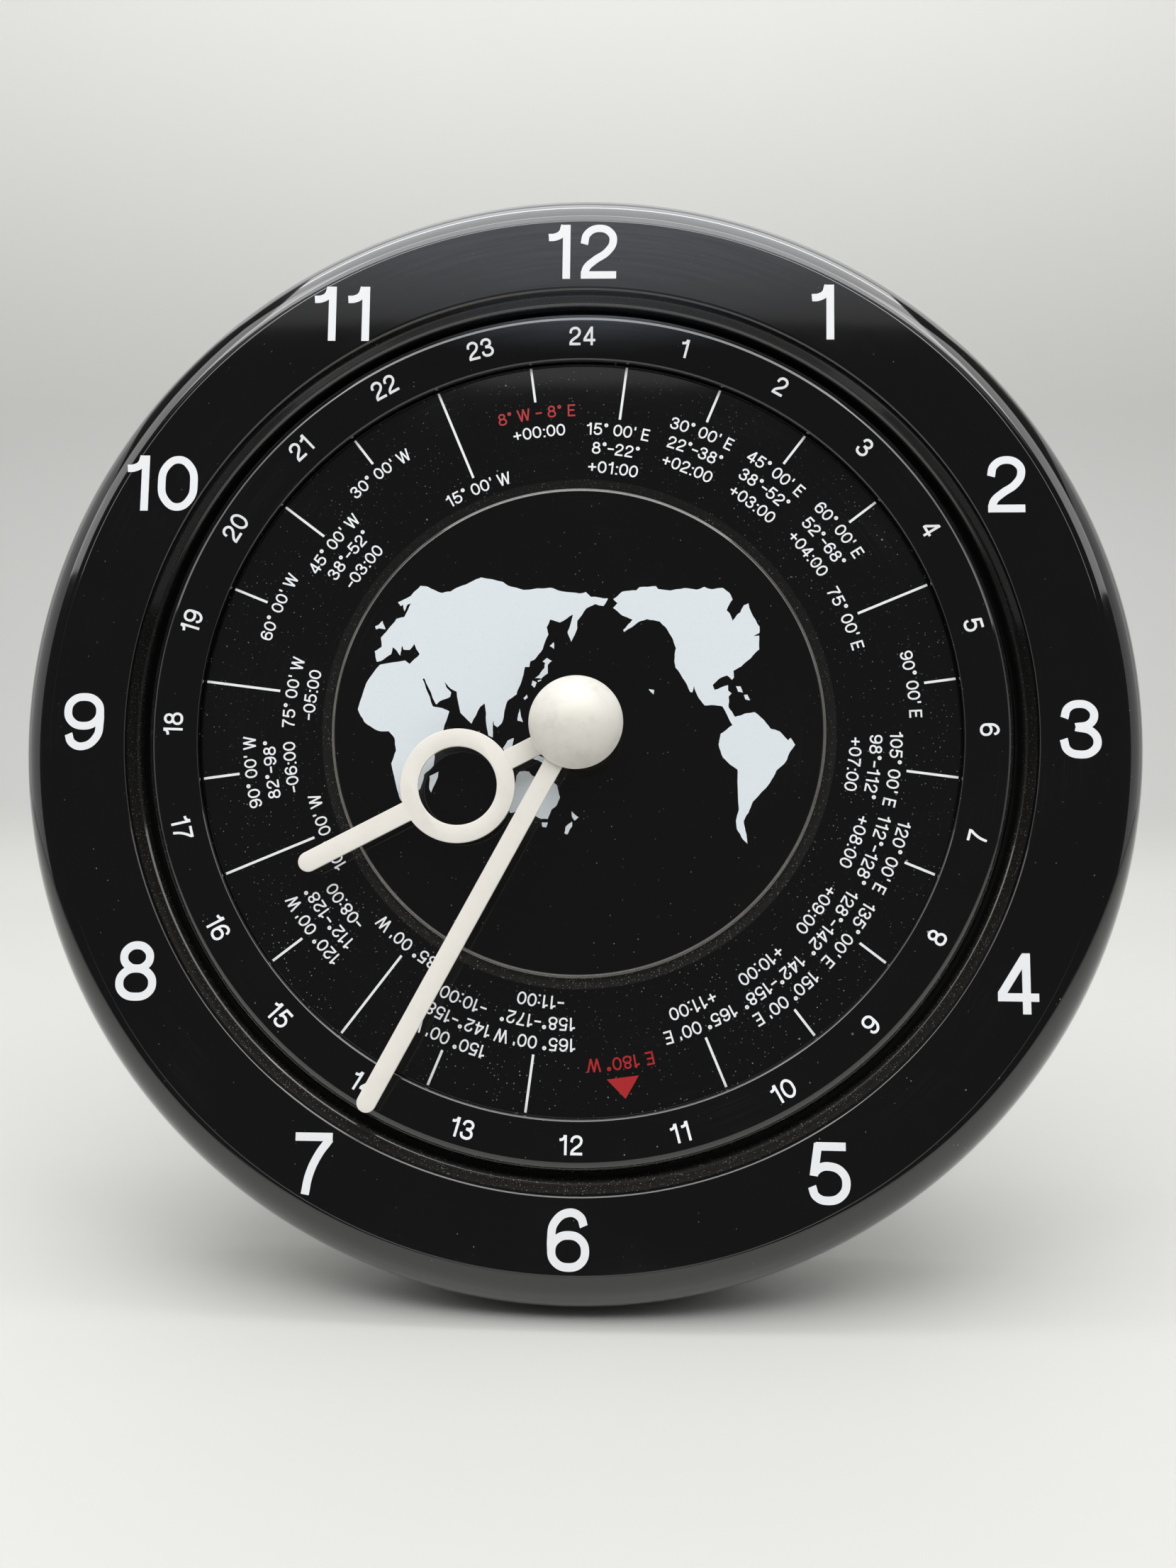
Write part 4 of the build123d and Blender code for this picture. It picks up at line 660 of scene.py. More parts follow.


# Every finish by its name. Dust lies on the frame's slope, along the day ring's bevel and round
# the map disc, whose own bevel is painted pale, as dust and wear and as a painted highlight line.
# The frame and the day ring carry a painted sheen at their top. The hub is soiled by fingers.
FINISHES = {
    "frame_black": partial(gloss_black, specks_share=0.05, dust_and_highlight_band=(89.4, 91.6), haze_and_highlight=0.05, film=0.12),
    "day_ring_black": partial(gloss_black, specks_share=0.05, dust_and_highlight_band=(86.6, 88.3), haze_and_highlight=0.04, film=0.8),
    "zone_black": partial(gloss_black, specks_share=0.8, dust_and_highlight_band=(50.3, 52.5), haze_and_highlight=0.05),
    "disc_black": partial(gloss_black, specks_share=0.16, dust_and_highlight_band=(49.75, 50.6), haze_and_highlight=0.6),
    "cover_black": partial(moulded, paint="cover", rough=0.5, grain_scale=2.6, grain_depth=0.03),
    "pan_black": partial(moulded, paint="black", rough=0.35, grain_scale=1.2, grain_depth=0.015),
    "movement_plastic": partial(
        moulded, paint="movement", rough=0.42, grain_scale=1.8, grain_depth=0.02
    ),
    "wheel_acetal": partial(
        moulded, paint="acetal", rough=0.35, grain_scale=1.5, grain_depth=0.006, tint=0.06
    ),
    "knob_red": partial(moulded, paint="knob", rough=0.38, grain_scale=1.8, grain_depth=0.012),
    "board_green": partial(
        moulded, paint="board", rough=0.3, grain_scale=3.0, grain_depth=0.01, tint=0.25
    ),
    "chip_black": partial(moulded, paint="black", rough=0.16, grain_scale=0.6, grain_depth=0.01),
    "foot_rubber": partial(
        moulded, paint="rubber", rough=0.72, grain_scale=2.2, grain_depth=0.025, tint=0.3
    ),
    "hand_cream": partial(
        painted, paint="cream", rough=0.42, grime=(0.48, 0.45, 0.38), grime_share=0.12,
        bump_scale=1.4, bump_depth=0.01,
    ),
    "hub_cream": partial(
        painted, paint="hub", rough=0.36, grime=(0.42, 0.40, 0.34), grime_share=0.34,
        bump_scale=0.9, bump_depth=0.02,
    ),
    "ink_white": partial(ink, paint="white", speckle=0.10),
    "ink_land": partial(ink, paint="land", speckle=0.22),
    "ink_red": partial(ink, paint="red", speckle=0.25),
    "screw_steel": partial(metal, paint="steel", rough=0.26, scratch=0.18),
    "stator_iron": partial(
        metal, paint="steel", rough=0.34, scratch=0.2, along=(0.15, 1.0, 1.0), share=0.7
    ),
    "contact_steel": partial(metal, paint="steel", rough=0.2, scratch=0.16, along=(1.0, 0.12, 1.0)),
    "crystal_can": partial(metal, paint="steel", rough=0.18, scratch=0.12, along=(0.1, 1.0, 1.0)),
    "magnet_grey": partial(metal, paint="steel", rough=0.5, scratch=0.2, share=0.4),
    "turned_brass": partial(metal, paint="brass", rough=0.2, scratch=0.2, along=(0.1, 0.1, 1.0)),
    "coil_copper": wound_wire,
    "cell_wrap": wrapped_cell,
}
# A slot has the finish of its own name, but for this one
SLOT_FINISHES = {"gloss_black": "disc_black"}


@cache
def finish_of(name):
    """The material of a finish, made the first time that it is asked for."""
    return FINISHES[name](name)


def start_clean():
    """Leave edit mode and deselect everything."""
    if bpy.context.object and bpy.context.object.mode != "OBJECT":
        bpy.ops.object.mode_set(mode="OBJECT")
    bpy.ops.object.select_all(action="DESELECT")


def work_on(piece):
    """Select one object alone and make it active."""
    start_clean()
    piece.select_set(True)
    bpy.context.view_layer.objects.active = piece


def lay_on_face(piece, turn=0.0):
    """Turn a flat piece clockwise, lay it on the leaning face and put its place in its mesh."""
    work_on(piece)
    piece.matrix_world = face_to_world @ Matrix.Rotation(-turn, 4, "Z")
    bpy.ops.object.transform_apply(location=True, rotation=True, scale=True)


def hand_over(piece, body, slot, finish, *nodes):
    """Paint a finished piece, hang it on its body and let it stand for these nodes."""
    piece.data.materials.clear()
    piece.data.materials.append(finish_of(finish))
    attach(piece, body)
    if nodes:
        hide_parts(*nodes)


def arc(middle, radius, start, end, steps):
    """Points of a circle's arc, between two angles in degrees from the x axis."""
    turns = [radians(start + (end - start) * step / steps) for step in range(steps + 1)]
    return [(middle[0] + radius * cos(turn), middle[1] + radius * sin(turn)) for turn in turns]


def softened(outline, radius, steps=4):
    """A closed outline with each sharp corner rounded and held by a point on either side."""
    sharp_bend = radians(12)
    most_of_side = 0.3
    hold = 1.5
    points = []
    for before, corner, after in zip(outline[-1:] + outline[:-1], outline, outline[1:] + outline[:1]):
        corner = Vector(corner)
        back = Vector(before) - corner
        ahead = Vector(after) - corner
        reach = min(radius, back.length * most_of_side, ahead.length * most_of_side)
        bend = pi - back.angle(ahead)
        if bend < sharp_bend:
            points.append(corner)
            continue
        enter = corner + back.normalized() * reach
        leave = corner + ahead.normalized() * reach
        points.append(corner + back.normalized() * reach * hold)
        for step in range(steps + 1):
            share = step / steps
            points.append(enter.lerp(corner, share).lerp(corner.lerp(leave, share), share))
        points.append(corner + ahead.normalized() * reach * hold)
    return points


def turned_piece(name, outline, steps):
    """A piece turned about the face's axis from a closed outline of radius and height."""
    start_clean()
    bpy.ops.mesh.primitive_plane_add(size=mm)
    piece = bpy.context.object
    piece.name = name
    bpy.ops.object.mode_set(mode="EDIT")
    bpy.ops.mesh.select_all(action="SELECT")
    bpy.ops.mesh.merge(type="CENTER")
    bpy.ops.transform.translate(value=(outline[0][0], 0, outline[0][1]))
    for start, end in zip(outline, outline[1:] + outline[:1]):
        step = (end[0] - start[0], 0, end[1] - start[1])
        bpy.ops.mesh.extrude_region_move(TRANSFORM_OT_translate={"value": step})
    bpy.ops.mesh.select_all(action="SELECT")
    bpy.ops.mesh.remove_doubles(threshold=OUTLINE_MERGE)
    bpy.ops.mesh.select_all(action="SELECT")
    bpy.ops.mesh.spin(steps=steps, angle=2 * pi, center=(0, 0, 0), axis=(0, 0, 1))
    close_mesh()
    bpy.ops.object.shade_smooth_by_angle(angle=TURNED_SMOOTH)
    return piece


def close_mesh():
    """Merge doubled points, point all faces outwards and leave edit mode."""
    bpy.ops.mesh.select_all(action="SELECT")
    bpy.ops.mesh.remove_doubles(threshold=MESH_MERGE)
    bpy.ops.mesh.normals_make_consistent(inside=False)
    bpy.ops.object.mode_set(mode="OBJECT")


def new_curve(name):
    """An empty curve object, linked and alone in the selection."""
    curve = bpy.data.curves.new(name, "CURVE")
    piece = bpy.data.objects.new(name, curve)
    bpy.context.scene.collection.objects.link(piece)
    work_on(piece)
    return piece


def filled_shape(name, outlines, thickness, edge=0.0):
    """A flat plate from closed outlines, where one outline inside another is a hole."""
    piece = new_curve(name)
    curve = piece.data
    curve.dimensions = "2D"
    curve.fill_mode = "BOTH"
    curve.extrude = thickness / 2 - edge
    curve.bevel_depth = edge
    curve.bevel_resolution = 2
    curve.offset = -edge
    for outline in outlines:
        spline = curve.splines.new("POLY")
        spline.points.add(len(outline) - 1)
        for point, (x, y) in zip(spline.points, outline):
            point.co = (x, y, 0, 1)
        spline.use_cyclic_u = True
    bpy.ops.object.convert(target="MESH")
    bpy.ops.object.mode_set(mode="EDIT")
    close_mesh()
    return piece


def ink_strips(name, strokes, width, thickness, smoothness):
    """Flat strips of ink of one width along strokes, each a way of running and its points."""
    nib = new_curve("nib")
    nib.data.dimensions = "2D"
    corner = nib.data.splines.new("POLY")
    corner.points.add(3)
    for point, (x, y) in zip(corner.points, ((-1, -1), (1, -1), (1, 1), (-1, 1))):
        point.co = (x * width / 2, y * thickness / 2, 0, 1)
    corner.use_cyclic_u = True
    piece = new_curve(name)
    curve = piece.data
    curve.dimensions = "3D"
    curve.twist_mode = "Z_UP"
    curve.bevel_mode = "OBJECT"
    curve.bevel_object = nib
    curve.use_fill_caps = True
    curve.resolution_u = smoothness
    for number, (run, *points) in enumerate(strokes):
        lift = STROKE_LIFT * (number % STROKE_LEVELS)
        spline = curve.splines.new("POLY" if run == STRAIGHT else "BEZIER")
        knots = spline.points if run == STRAIGHT else spline.bezier_points
        knots.add(len(points) - 1)
        for knot, (x, y) in zip(knots, points):
            knot.co = (x, y, lift, 1) if run == STRAIGHT else (x, y, lift)
            if run != STRAIGHT:
                knot.handle_left_type = knot.handle_right_type = "AUTO"
        spline.use_cyclic_u = run == LOOP
    bpy.ops.object.convert(target="MESH")
    bpy.data.objects.remove(nib)
    bpy.ops.object.mode_set(mode="EDIT")
    close_mesh()
    bpy.ops.object.shade_flat()
    return piece


def on_circle(radius, turn):
    """A point on a circle about the middle, at an angle clockwise from the twelve."""
    return Vector((radius * sin(turn), radius * cos(turn)))


def words_wide(words, height):
    """The width of a row of figures."""
    return sum(FIGURES[figure][0] for figure in words) * height


def written(words, height, place_figure):
    """The strokes of a row of figures, each placed by a function of its middle and its points."""
    strokes = []
    start = -words_wide(words, height) / 2
    for figure in words:
        advance, drawn = FIGURES[figure]
        middle = start + advance * height / 2
        for run, *points in drawn:
            local = [((x - advance / 2) * height, (y - 0.5) * height) for x, y in points]
            strokes.append((run, *[place_figure(middle, x, y) for x, y in local]))
        start += advance * height
    return strokes


def upright_row(words, height, radius, turn):
    """A row of figures that stands upright about a point of a circle."""
    spot = on_circle(radius, turn)
    return written(words, height, lambda middle, x, y: (spot.x + middle + x, spot.y + y))


def block_row(words, height, radius, turn, feet_out):
    """A short straight row square to a radius, with its feet towards the middle or the rim."""
    side = -1 if feet_out else 1
    out = on_circle(1, turn)
    along = Vector((out.y, -out.x)) * side

    def put(middle, x, y):
        return tuple(out * (radius + side * y) + along * (middle + x))

    return written(words, height, put)


def curved_row(words, height, radius, turn):
    """A row of figures bent along a circle, with its feet towards the middle."""

    def put(middle, x, y):
        out = on_circle(1, turn + middle / radius)
        return tuple(out * (radius + y) + Vector((out.y, -out.x)) * x)

    return written(words, height, put)


def raise_piece(piece, surface):
    """Raise a flat piece to its place, given as a height for each radius."""
    for vertex in piece.data.vertices:
        vertex.co.z += surface(hypot(vertex.co.x, vertex.co.y))


def print_height():
    """Height of the ink's middle over the surface that carries it."""
    sizes = bpy.context.scene.clock_print
    return sizes.ink / 2 - sizes.ink_sink


def rough_coast(points, seed):
    """A coast with each long stretch broken into small bends, the same each time."""
    draw = random.Random(seed)
    for _ in range(COAST_ROUNDS):
        finer = []
        for start, end in zip(points, points[1:] + points[:1]):
            run = Vector(end) - Vector(start)
            finer.append(start)
            if run.length > COAST_SHORTEST:
                bend = draw.uniform(-COAST_BEND, COAST_BEND) * min(run.length, COAST_LONGEST)
                middle = (Vector(start) + Vector(end)) / 2
                aside = Vector((-run.y, run.x)).normalized() * bend
                finer.append(tuple(middle + aside))
        points = finer
    return points


class CLOCK_OT_front_frame(bpy.types.Operator):
    """Turn the front frame: rolled rim, hour ring, slope, groove and skirt"""

    bl_idname = "clock.front_frame"
    bl_label = "Front frame"

    def execute(self, context):
        dial = context.scene.clock_dial
        ring_outer = dial.rim_radius - dial.roll_width
        roll_height = -dial.hour_ring_fall - dial.roll_width
        skirt_radius = dial.rim_radius - dial.skirt_taper
        ledge = (dial.slope_inner - dial.ledge_width, -dial.slope_fall - dial.ledge_fall)
        groove_edge = ledge[1] - dial.groove_edge_fall
        # This run is open, so only the inner parts of the roundings at its ends are kept
        inner = softened([
            (dial.groove_outer, groove_edge),
            ledge,
            (dial.slope_inner, -dial.slope_fall),
            (dial.hour_ring_inner, 0),
            (ring_outer, -dial.hour_ring_fall),
        ], dial.edge_softness)[4:-2]
        outer_roll = arc((ring_outer, roll_height), dial.roll_width, ROLL_START, 0, ROLL_STEPS)
        skirt = [
            (skirt_radius, -dial.skirt_depth),
            (skirt_radius - dial.frame_wall, -dial.skirt_depth),
        ]
        roll_inner = dial.roll_width - dial.frame_wall
        inner_roll = arc((ring_outer, roll_height), roll_inner, 0, 90, ROLL_STEPS // 2)
        wall = [
            (dial.groove_outer + dial.frame_wall, -dial.frame_wall),
            (dial.groove_outer + dial.frame_wall, dial.pan_front),
            (dial.groove_outer, dial.pan_front),
        ]
        groove = [(dial.groove_outer, groove_edge - dial.edge_softness)]
        outline = inner + outer_roll + skirt + inner_roll + wall + groove
        piece = turned_piece("front_frame_shell", outline, dial.turn_steps)
        lay_on_face(piece)
        hand_over(piece, "case", "gloss_black", "frame_black", "front_frame")
        return {"FINISHED"}


class CLOCK_OT_day_ring(bpy.types.Operator):
    """Turn the 24-hour ring, with its two bevels, its printed face and its lip"""

    bl_idname = "clock.day_ring"
    bl_label = "24-hour ring"

    def execute(self, context):
        dial = context.scene.clock_dial
        outline = softened([
            (dial.day_lip_inner, dial.day_lip_bottom),
            (dial.day_lip_inner, dial.day_lip_height),
            (dial.day_face_inner, dial.day_face_height - dial.day_face_fall),
            (dial.day_face_outer, dial.day_face_height),
            (dial.day_bevel_outer, dial.day_bevel_height),
            (dial.day_ring_outer, dial.day_edge_height),
            (dial.day_ring_outer, dial.day_ring_bottom),
            (dial.day_seat_outer, dial.day_ring_bottom),
            (dial.day_seat_outer, dial.day_lip_bottom),
        ], dial.edge_softness * 1.3)
        piece = turned_piece("day_ring_shell", outline, dial.turn_steps)
        lay_on_face(piece)
        hand_over(piece, "case", "gloss_black", "day_ring_black", "day_ring")
        return {"FINISHED"}


class CLOCK_OT_discs(bpy.types.Operator):
    """Turn the zone disc and the raised map disc"""

    bl_idname = "clock.discs"
    bl_label = "Zone disc and map disc"

    def execute(self, context):
        dial = context.scene.clock_dial
        zone_outline = softened([
            (dial.zone_hole, dial.zone_height),
            (dial.zone_radius, dial.zone_height),
            (dial.zone_radius, dial.zone_height - dial.zone_thickness),
            (dial.zone_hole, dial.zone_height - dial.zone_thickness),
        ], dial.edge_softness)
        zone = turned_piece("zone_disc_plate", zone_outline, dial.turn_steps)
        lay_on_face(zone)
        hand_over(zone, "zone", "gloss_black", "zone_black", "zone_disc")
        map_outline = softened([
            (dial.map_hole, dial.map_height),
            (dial.map_radius - dial.map_bevel, dial.map_height),
            (dial.map_radius, dial.map_height - dial.map_bevel),
            (dial.map_radius, dial.map_height - dial.map_thickness),
            (dial.map_hole, dial.map_height - dial.map_thickness),
        ], dial.edge_softness / 2)
        plate = turned_piece("map_disc_plate", map_outline, dial.turn_steps)
        lay_on_face(plate)
        hand_over(plate, "case", "gloss_black", "disc_black", "map_disc")
        return {"FINISHED"}


class CLOCK_OT_numerals(bpy.types.Operator):
    """Print the twelve hour numerals and the 24-hour numerals on their rings"""

    bl_idname = "clock.numerals"
    bl_label = "Numerals"

    def execute(self, context):
        dial = context.scene.clock_dial
        marks = context.scene.clock_print
        raised = print_height()
        ring_outer = dial.rim_radius - dial.roll_width
        ring_slope = dial.hour_ring_fall / (ring_outer - dial.hour_ring_inner)
        strokes = []
        for hour in range(1, hours + 1):
            turn = 2 * pi * hour / hours
            strokes += upright_row(str(hour), marks.hour_height, marks.hour_circle, turn)
        stroke = FIGURE_STROKE * marks.hour_height
        piece = ink_strips("hour_numerals", strokes, stroke, marks.ink, HOUR_CURVE_STEPS)
        raise_piece(piece, lambda radius: raised - ring_slope * (radius - dial.hour_ring_inner))
        lay_on_face(piece)
        hand_over(piece, "case", "hand_cream", "ink_white")
        day_slope = dial.day_face_fall / (dial.day_face_outer - dial.day_face_inner)
        strokes = []
        for hour in range(1, zones + 1):
            turn = 2 * pi * hour / zones
            strokes += block_row(str(hour), marks.day_height, marks.day_circle, turn, hour in FEET_OUT)
        stroke = FIGURE_STROKE * marks.day_height
        piece = ink_strips("day_numerals", strokes, stroke, marks.ink, DAY_CURVE_STEPS)
        raise_piece(piece, lambda radius: (
            raised + dial.day_face_height - day_slope * (dial.day_face_outer - radius)
        ))
        lay_on_face(piece)
        hand_over(piece, "case", "hand_cream", "ink_white")
        return {"FINISHED"}


def zone_words(zone):
    """The rows of a zone's label: its bounds, its middle and its hours from zero."""
    shift = zone if zone <= DATE_ZONE else zone - zones
    middle = ZONE_WIDTH * shift
    side = "E" if shift > 0 else "W"
    near, far = sorted((abs(middle - ZONE_WIDTH / 2), abs(middle + ZONE_WIDTH / 2)))
    if zone == 0:
        return ["8° W - 8° E", "+00:00"]
    if zone == DATE_ZONE:
        return ["E 180° W"]
    meridian = f"{abs(middle)}° 00' {side}"
    offset = f"{shift:+03d}:00"
    bounds = f"{near:.0f}°-{far:.0f}°"
    return {1: [meridian], 2: [meridian, offset], 3: [meridian, bounds, offset]}[LABEL_ROWS[zone]]


class CLOCK_OT_zone_print(bpy.types.Operator):
    """Print the ticks, the zone labels and the red marks on the zone disc"""

    bl_idname = "clock.zone_print"
    bl_label = "Zone print"

    def execute(self, context):
        dial = context.scene.clock_dial
        marks = context.scene.clock_print
        height = dial.zone_height + print_height()
        ticks, white, red = [], [], []
        for zone in range(zones):
            turn = marks.zero_angle + 2 * pi * zone / zones
            end = TICK_ENDS[zone] * mm
            if zone != DATE_ZONE:
                ends = [tuple(on_circle(reach, turn)) for reach in (end, marks.tick_outer)]
                ticks.append((STRAIGHT, *ends))
            for row, words in enumerate(zone_words(zone)):
                radius = end - marks.label_gap - marks.label_step * row
                rows = red if zone in (0, DATE_ZONE) and row == 0 else white
                rows += curved_row(words, marks.label_height, radius, turn)
        stroke = FIGURE_STROKE * marks.label_height
        date_turn = marks.zero_angle + 2 * pi * DATE_ZONE / zones
        half = marks.arrow_width / 2
        arrow = filled_shape("date_arrow", [
            [(0, marks.arrow_tip), (-half, marks.arrow_base), (half, marks.arrow_base)]
        ], marks.ink)
        raise_piece(arrow, lambda radius: height)
        lay_on_face(arrow, date_turn)
        hand_over(arrow, "zone", "knob_red", "ink_red")
        for name, strokes, width, slot, finish in (
            ("zone_ticks", ticks, marks.tick_width, "hand_cream", "ink_white"),
            ("zone_labels", white, stroke, "hand_cream", "ink_white"),
            ("zone_red_labels", red, stroke, "knob_red", "ink_red"),
        ):
            piece = ink_strips(name, strokes, width, marks.ink, LABEL_CURVE_STEPS)
            raise_piece(piece, lambda radius: height)
            lay_on_face(piece)
            hand_over(piece, "zone", slot, finish)
        return {"FINISHED"}


class CLOCK_OT_map_print(bpy.types.Operator):
    """Print the map on the raised disc"""

    bl_idname = "clock.map_print"
    bl_label = "Map print"

    def execute(self, context):
        dial = context.scene.clock_dial
        marks = context.scene.clock_print
        lands = (OLD_WORLD, NEW_WORLD, AUSTRALIA) + ISLANDS
        outlines = [[(x * mm, y * mm) for x, y in land] for land in lands]
        rough = [rough_coast(outline, seed) for seed, outline in enumerate(outlines)]
        piece = filled_shape("map_print", rough, marks.ink)
        raise_piece(piece, lambda radius: dial.map_height + print_height())
        lay_on_face(piece)
        hand_over(piece, "case", "hand_cream", "ink_land")
        return {"FINISHED"}


def hand_outline(collar, width, reach, ring_place=0.0, ring_outer=0.0):
    """The outline of a hand that points to the twelve, with an open ring on its way if it has one."""
    half = width / 2
    tip = arc((0, reach - half), half, 0, 180, TIP_STEPS)
    collar_side = 90 - degrees(atan2(half, sqrt(collar**2 - half**2)))
    foot = arc((0, 0), collar, 180 - collar_side, 360 + collar_side, COLLAR_STEPS)
    right, left = [], []
    if ring_outer:
        swing = 90 - degrees(atan2(half, sqrt(ring_outer**2 - half**2)))
        right = arc((0, ring_place), ring_outer, -swing, swing, COLLAR_STEPS)
        left = arc((0, ring_place), ring_outer, 180 - swing, 180 + swing, COLLAR_STEPS)
    return foot + right + tip + left


class CLOCK_OT_hands(bpy.types.Operator):
    """Cut the two flat hands and turn the domed cap over their middle"""

    bl_idname = "clock.hands"
    bl_label = "Hands and hub"

    def execute(self, context):
        hands = context.scene.clock_hands
        dial = context.scene.clock_dial
        hour_outline = hand_outline(
            hands.hour_collar, hands.hour_width, hands.hour_length, hands.ring_place, hands.ring_outer
        )
        ring_hole = arc((0, hands.ring_place), hands.ring_inner, 0, 360, RING_HOLE_STEPS)[:-1]
        minute_outline = hand_outline(hands.minute_collar, hands.minute_width, hands.minute_length)
        for name, outlines, height, turn, body in (
            ("hour_hand_blade", [hour_outline, ring_hole], hands.hour_height, hands.hour_angle, "hour"),
            ("minute_hand_blade", [minute_outline], hands.minute_height, hands.minute_angle, "minute"),
        ):
            piece = filled_shape(name, outlines, hands.thickness, hands.edge)
            raise_piece(piece, lambda radius: height + hands.thickness / 2)
            bpy.ops.object.shade_smooth_by_angle(angle=HAND_SMOOTH)
            lay_on_face(piece, turn)
            hand_over(piece, body, "hand_cream", "hand_cream", body + "_hand")
        outline = dome(dial.hub_radius, dial.hub_base, dial.hub_rise, DOME_STEPS)
        hollow_radius = dial.hub_radius - dial.hub_wall
        hollow_rise = dial.hub_rise - dial.hub_wall
        hollow = dome(hollow_radius, dial.hub_base, hollow_rise, DOME_STEPS // 2)
        cap = turned_piece("hub_dome", outline + hollow[::-1], dial.turn_steps // 2)
        lay_on_face(cap)
        hand_over(cap, "minute", "hand_cream", "hub_cream", "hub_cap")
        return {"FINISHED"}


def dome(radius, base, rise, steps):
    """Half the outline of a round cap, from its top on the axis to its rim."""
    ball = (radius**2 + rise**2) / (2 * rise)
    edge = degrees(atan2(ball - rise, radius))
    return arc((0, base + rise - ball), ball, 90, edge, steps)


# The pieces of the back and the stand, with the body and the slot of each
SMOOTH_PIECES = (
    ("rear_cover", "case", "cover_black"),
    ("stand_leg", "leg", "cover_black"),
    ("leg_pad", "leg", "foot_rubber"),
    ("front_feet", "case", "foot_rubber"),
    ("hinge_pin", "case", "screw_steel"),
    ("case_screws", "case", "screw_steel"),
    ("setting_knob", "setting", "knob_red"),
    ("movement_case", "case", "movement_plastic"),
    ("dry_cell", "case", "cell_wrap"),
)

# Faces that bend less than this are made one
FLAT_BEND = radians(0.2)

# Points this near to the lowest one are on the screws' heads, and each recess is turned further
HEAD_REACH = 0.01 * mm
RECESS_TURN = 0.45


def cut_cross_recesses(piece):
    """Cut a cross recess into each screw's head, every one turned a little further."""
    sizes = bpy.context.scene.clock_back
    to_face = face_to_world.inverted()
    points = [to_face @ vertex.co for vertex in piece.data.vertices]
    head_height = min(point.z for point in points)
    heads = {}
    for point in points:
        if point.z < head_height + HEAD_REACH:
            heads.setdefault((point.x > 0, point.y > 0), []).append(point)
    for number, corner in enumerate(sorted(heads)):
        middle = sum(heads[corner], Vector()) / len(heads[corner])
        for bar_turn in (0.0, pi / 2):
            start_clean()
            bpy.ops.mesh.primitive_cube_add(size=1.0)
            bar = bpy.context.object
            bar.matrix_world = (
                face_to_world
                @ Matrix.Translation(middle)
                @ Matrix.Rotation(bar_turn + RECESS_TURN * number, 4, "Z")
                @ Matrix.Diagonal((sizes.recess_length, sizes.recess_width, 2 * sizes.recess_depth, 1.0))
            )
            work_on(piece)
            cut = piece.modifiers.new("recess", "BOOLEAN")
            cut.operation = "DIFFERENCE"
            cut.solver = "EXACT"
            cut.object = bar
            bpy.ops.object.modifier_apply(modifier=cut.name)
            bpy.data.objects.remove(bar)


class CLOCK_OT_rear(bpy.types.Operator):
    """Copy the pieces of the back and the stand with merged, smoothly shaded meshes"""

    bl_idname = "clock.rear"
    bl_label = "Back and stand"

    def execute(self, context):
        for node, body, slot in SMOOTH_PIECES:
            work_on(frame["nodes"][node])
            bpy.ops.object.duplicate()
            piece = context.object
            piece.name = node + "_finished"
            for key in list(piece.keys()):
                del piece[key]
            bpy.ops.object.mode_set(mode="EDIT")
            bpy.ops.mesh.select_all(action="SELECT")
            bpy.ops.mesh.remove_doubles(threshold=OUTLINE_MERGE)
            bpy.ops.mesh.dissolve_limited(angle_limit=FLAT_BEND)
            bpy.ops.object.mode_set(mode="OBJECT")
            bpy.ops.mesh.customdata_custom_splitnormals_clear()
            if node == "case_screws":
                cut_cross_recesses(piece)
            bpy.ops.object.shade_smooth_by_angle(angle=BACK_SMOOTH)
            hand_over(piece, body, slot, slot, node)
        return {"FINISHED"}


class CLOCK_OT_inside(bpy.types.Operator):
    """Give every piece inside the case the finish of its material"""

    bl_idname = "clock.inside"
    bl_label = "Inside finishes"

    def execute(self, context):
        slots = {part["node"]: part["material_slot"] for part in frame["record"]["subparts"]}
        for node, piece in frame["nodes"].items():
            piece.data.materials.clear()
            slot = slots[node]
            piece.data.materials.append(finish_of(SLOT_FINISHES.get(slot, slot)))
        return {"FINISHED"}


def sheet_finish(stage):
    """Pale table paper that runs up into the backdrop."""
    finish = Finish("stage_sheet")
    where = finish.node("ShaderNodeTexCoord", {}, {}, "Object")
    _, y, z = finish.split(where)
    # Painted shade and light in the sheet's colour: the table's front turns to painted shade, the sheet darkens
    # where it turns up, and the backdrop is painted paler higher up
    table = finish.mix(y.ramp(-stage.shade_end, -stage.shade_start), colours().shade, colours().floor)
    low = finish.mix(z.ramp(stage.low_start, stage.low_end), table, colours().backdrop_low)
    high = finish.mix(z.ramp(stage.high_start, stage.high_end), low, colours().backdrop_high)
    cloud = finish.noise(where, 9.0, 3.0, 0.5)
    return finish.done(high, 0.5 + 0.1 * cloud)


# Each lamp's place and the place that it points at, its width, its height and its strength
LAMPS = {
    "lamp_low": ((0.0, -1.10, 1.09), face_middle, 1.3, 0.20, 0.31),
    "lamp_front": ((0.0, -0.95, 1.27), face_middle, 1.6, 0.36, 6.3),
    "lamp_over": ((0.0, -0.20, 1.18), (0.0, -0.20, 0.0), 1.25, 1.10, 12.0),
    "lamp_strip": ((0.0, 0.04, 1.14), (0.0, 0.0, 0.0), 1.2, 0.06, 1.2),
    "lamp_back": ((0.0, 0.60, 0.98), face_middle, 1.6, 0.60, 2.3),
    "lamp_left": ((-1.0, -0.80, 1.25), face_middle, 0.9, 0.9, 4.7),
    "lamp_right": ((1.0, -0.80, 1.25), face_middle, 0.9, 0.9, 4.7),
    "panel_left": ((-1.3, 0.0, 0.50), face_middle, 1.3, 1.0, 2.3),
    "panel_right": ((1.3, 0.10, 0.50), face_middle, 1.3, 1.0, 1.9),
}
WORLD_STRENGTH = 0.08
SENSOR_HEIGHT = 36.0
NEAREST_SEEN = 0.01


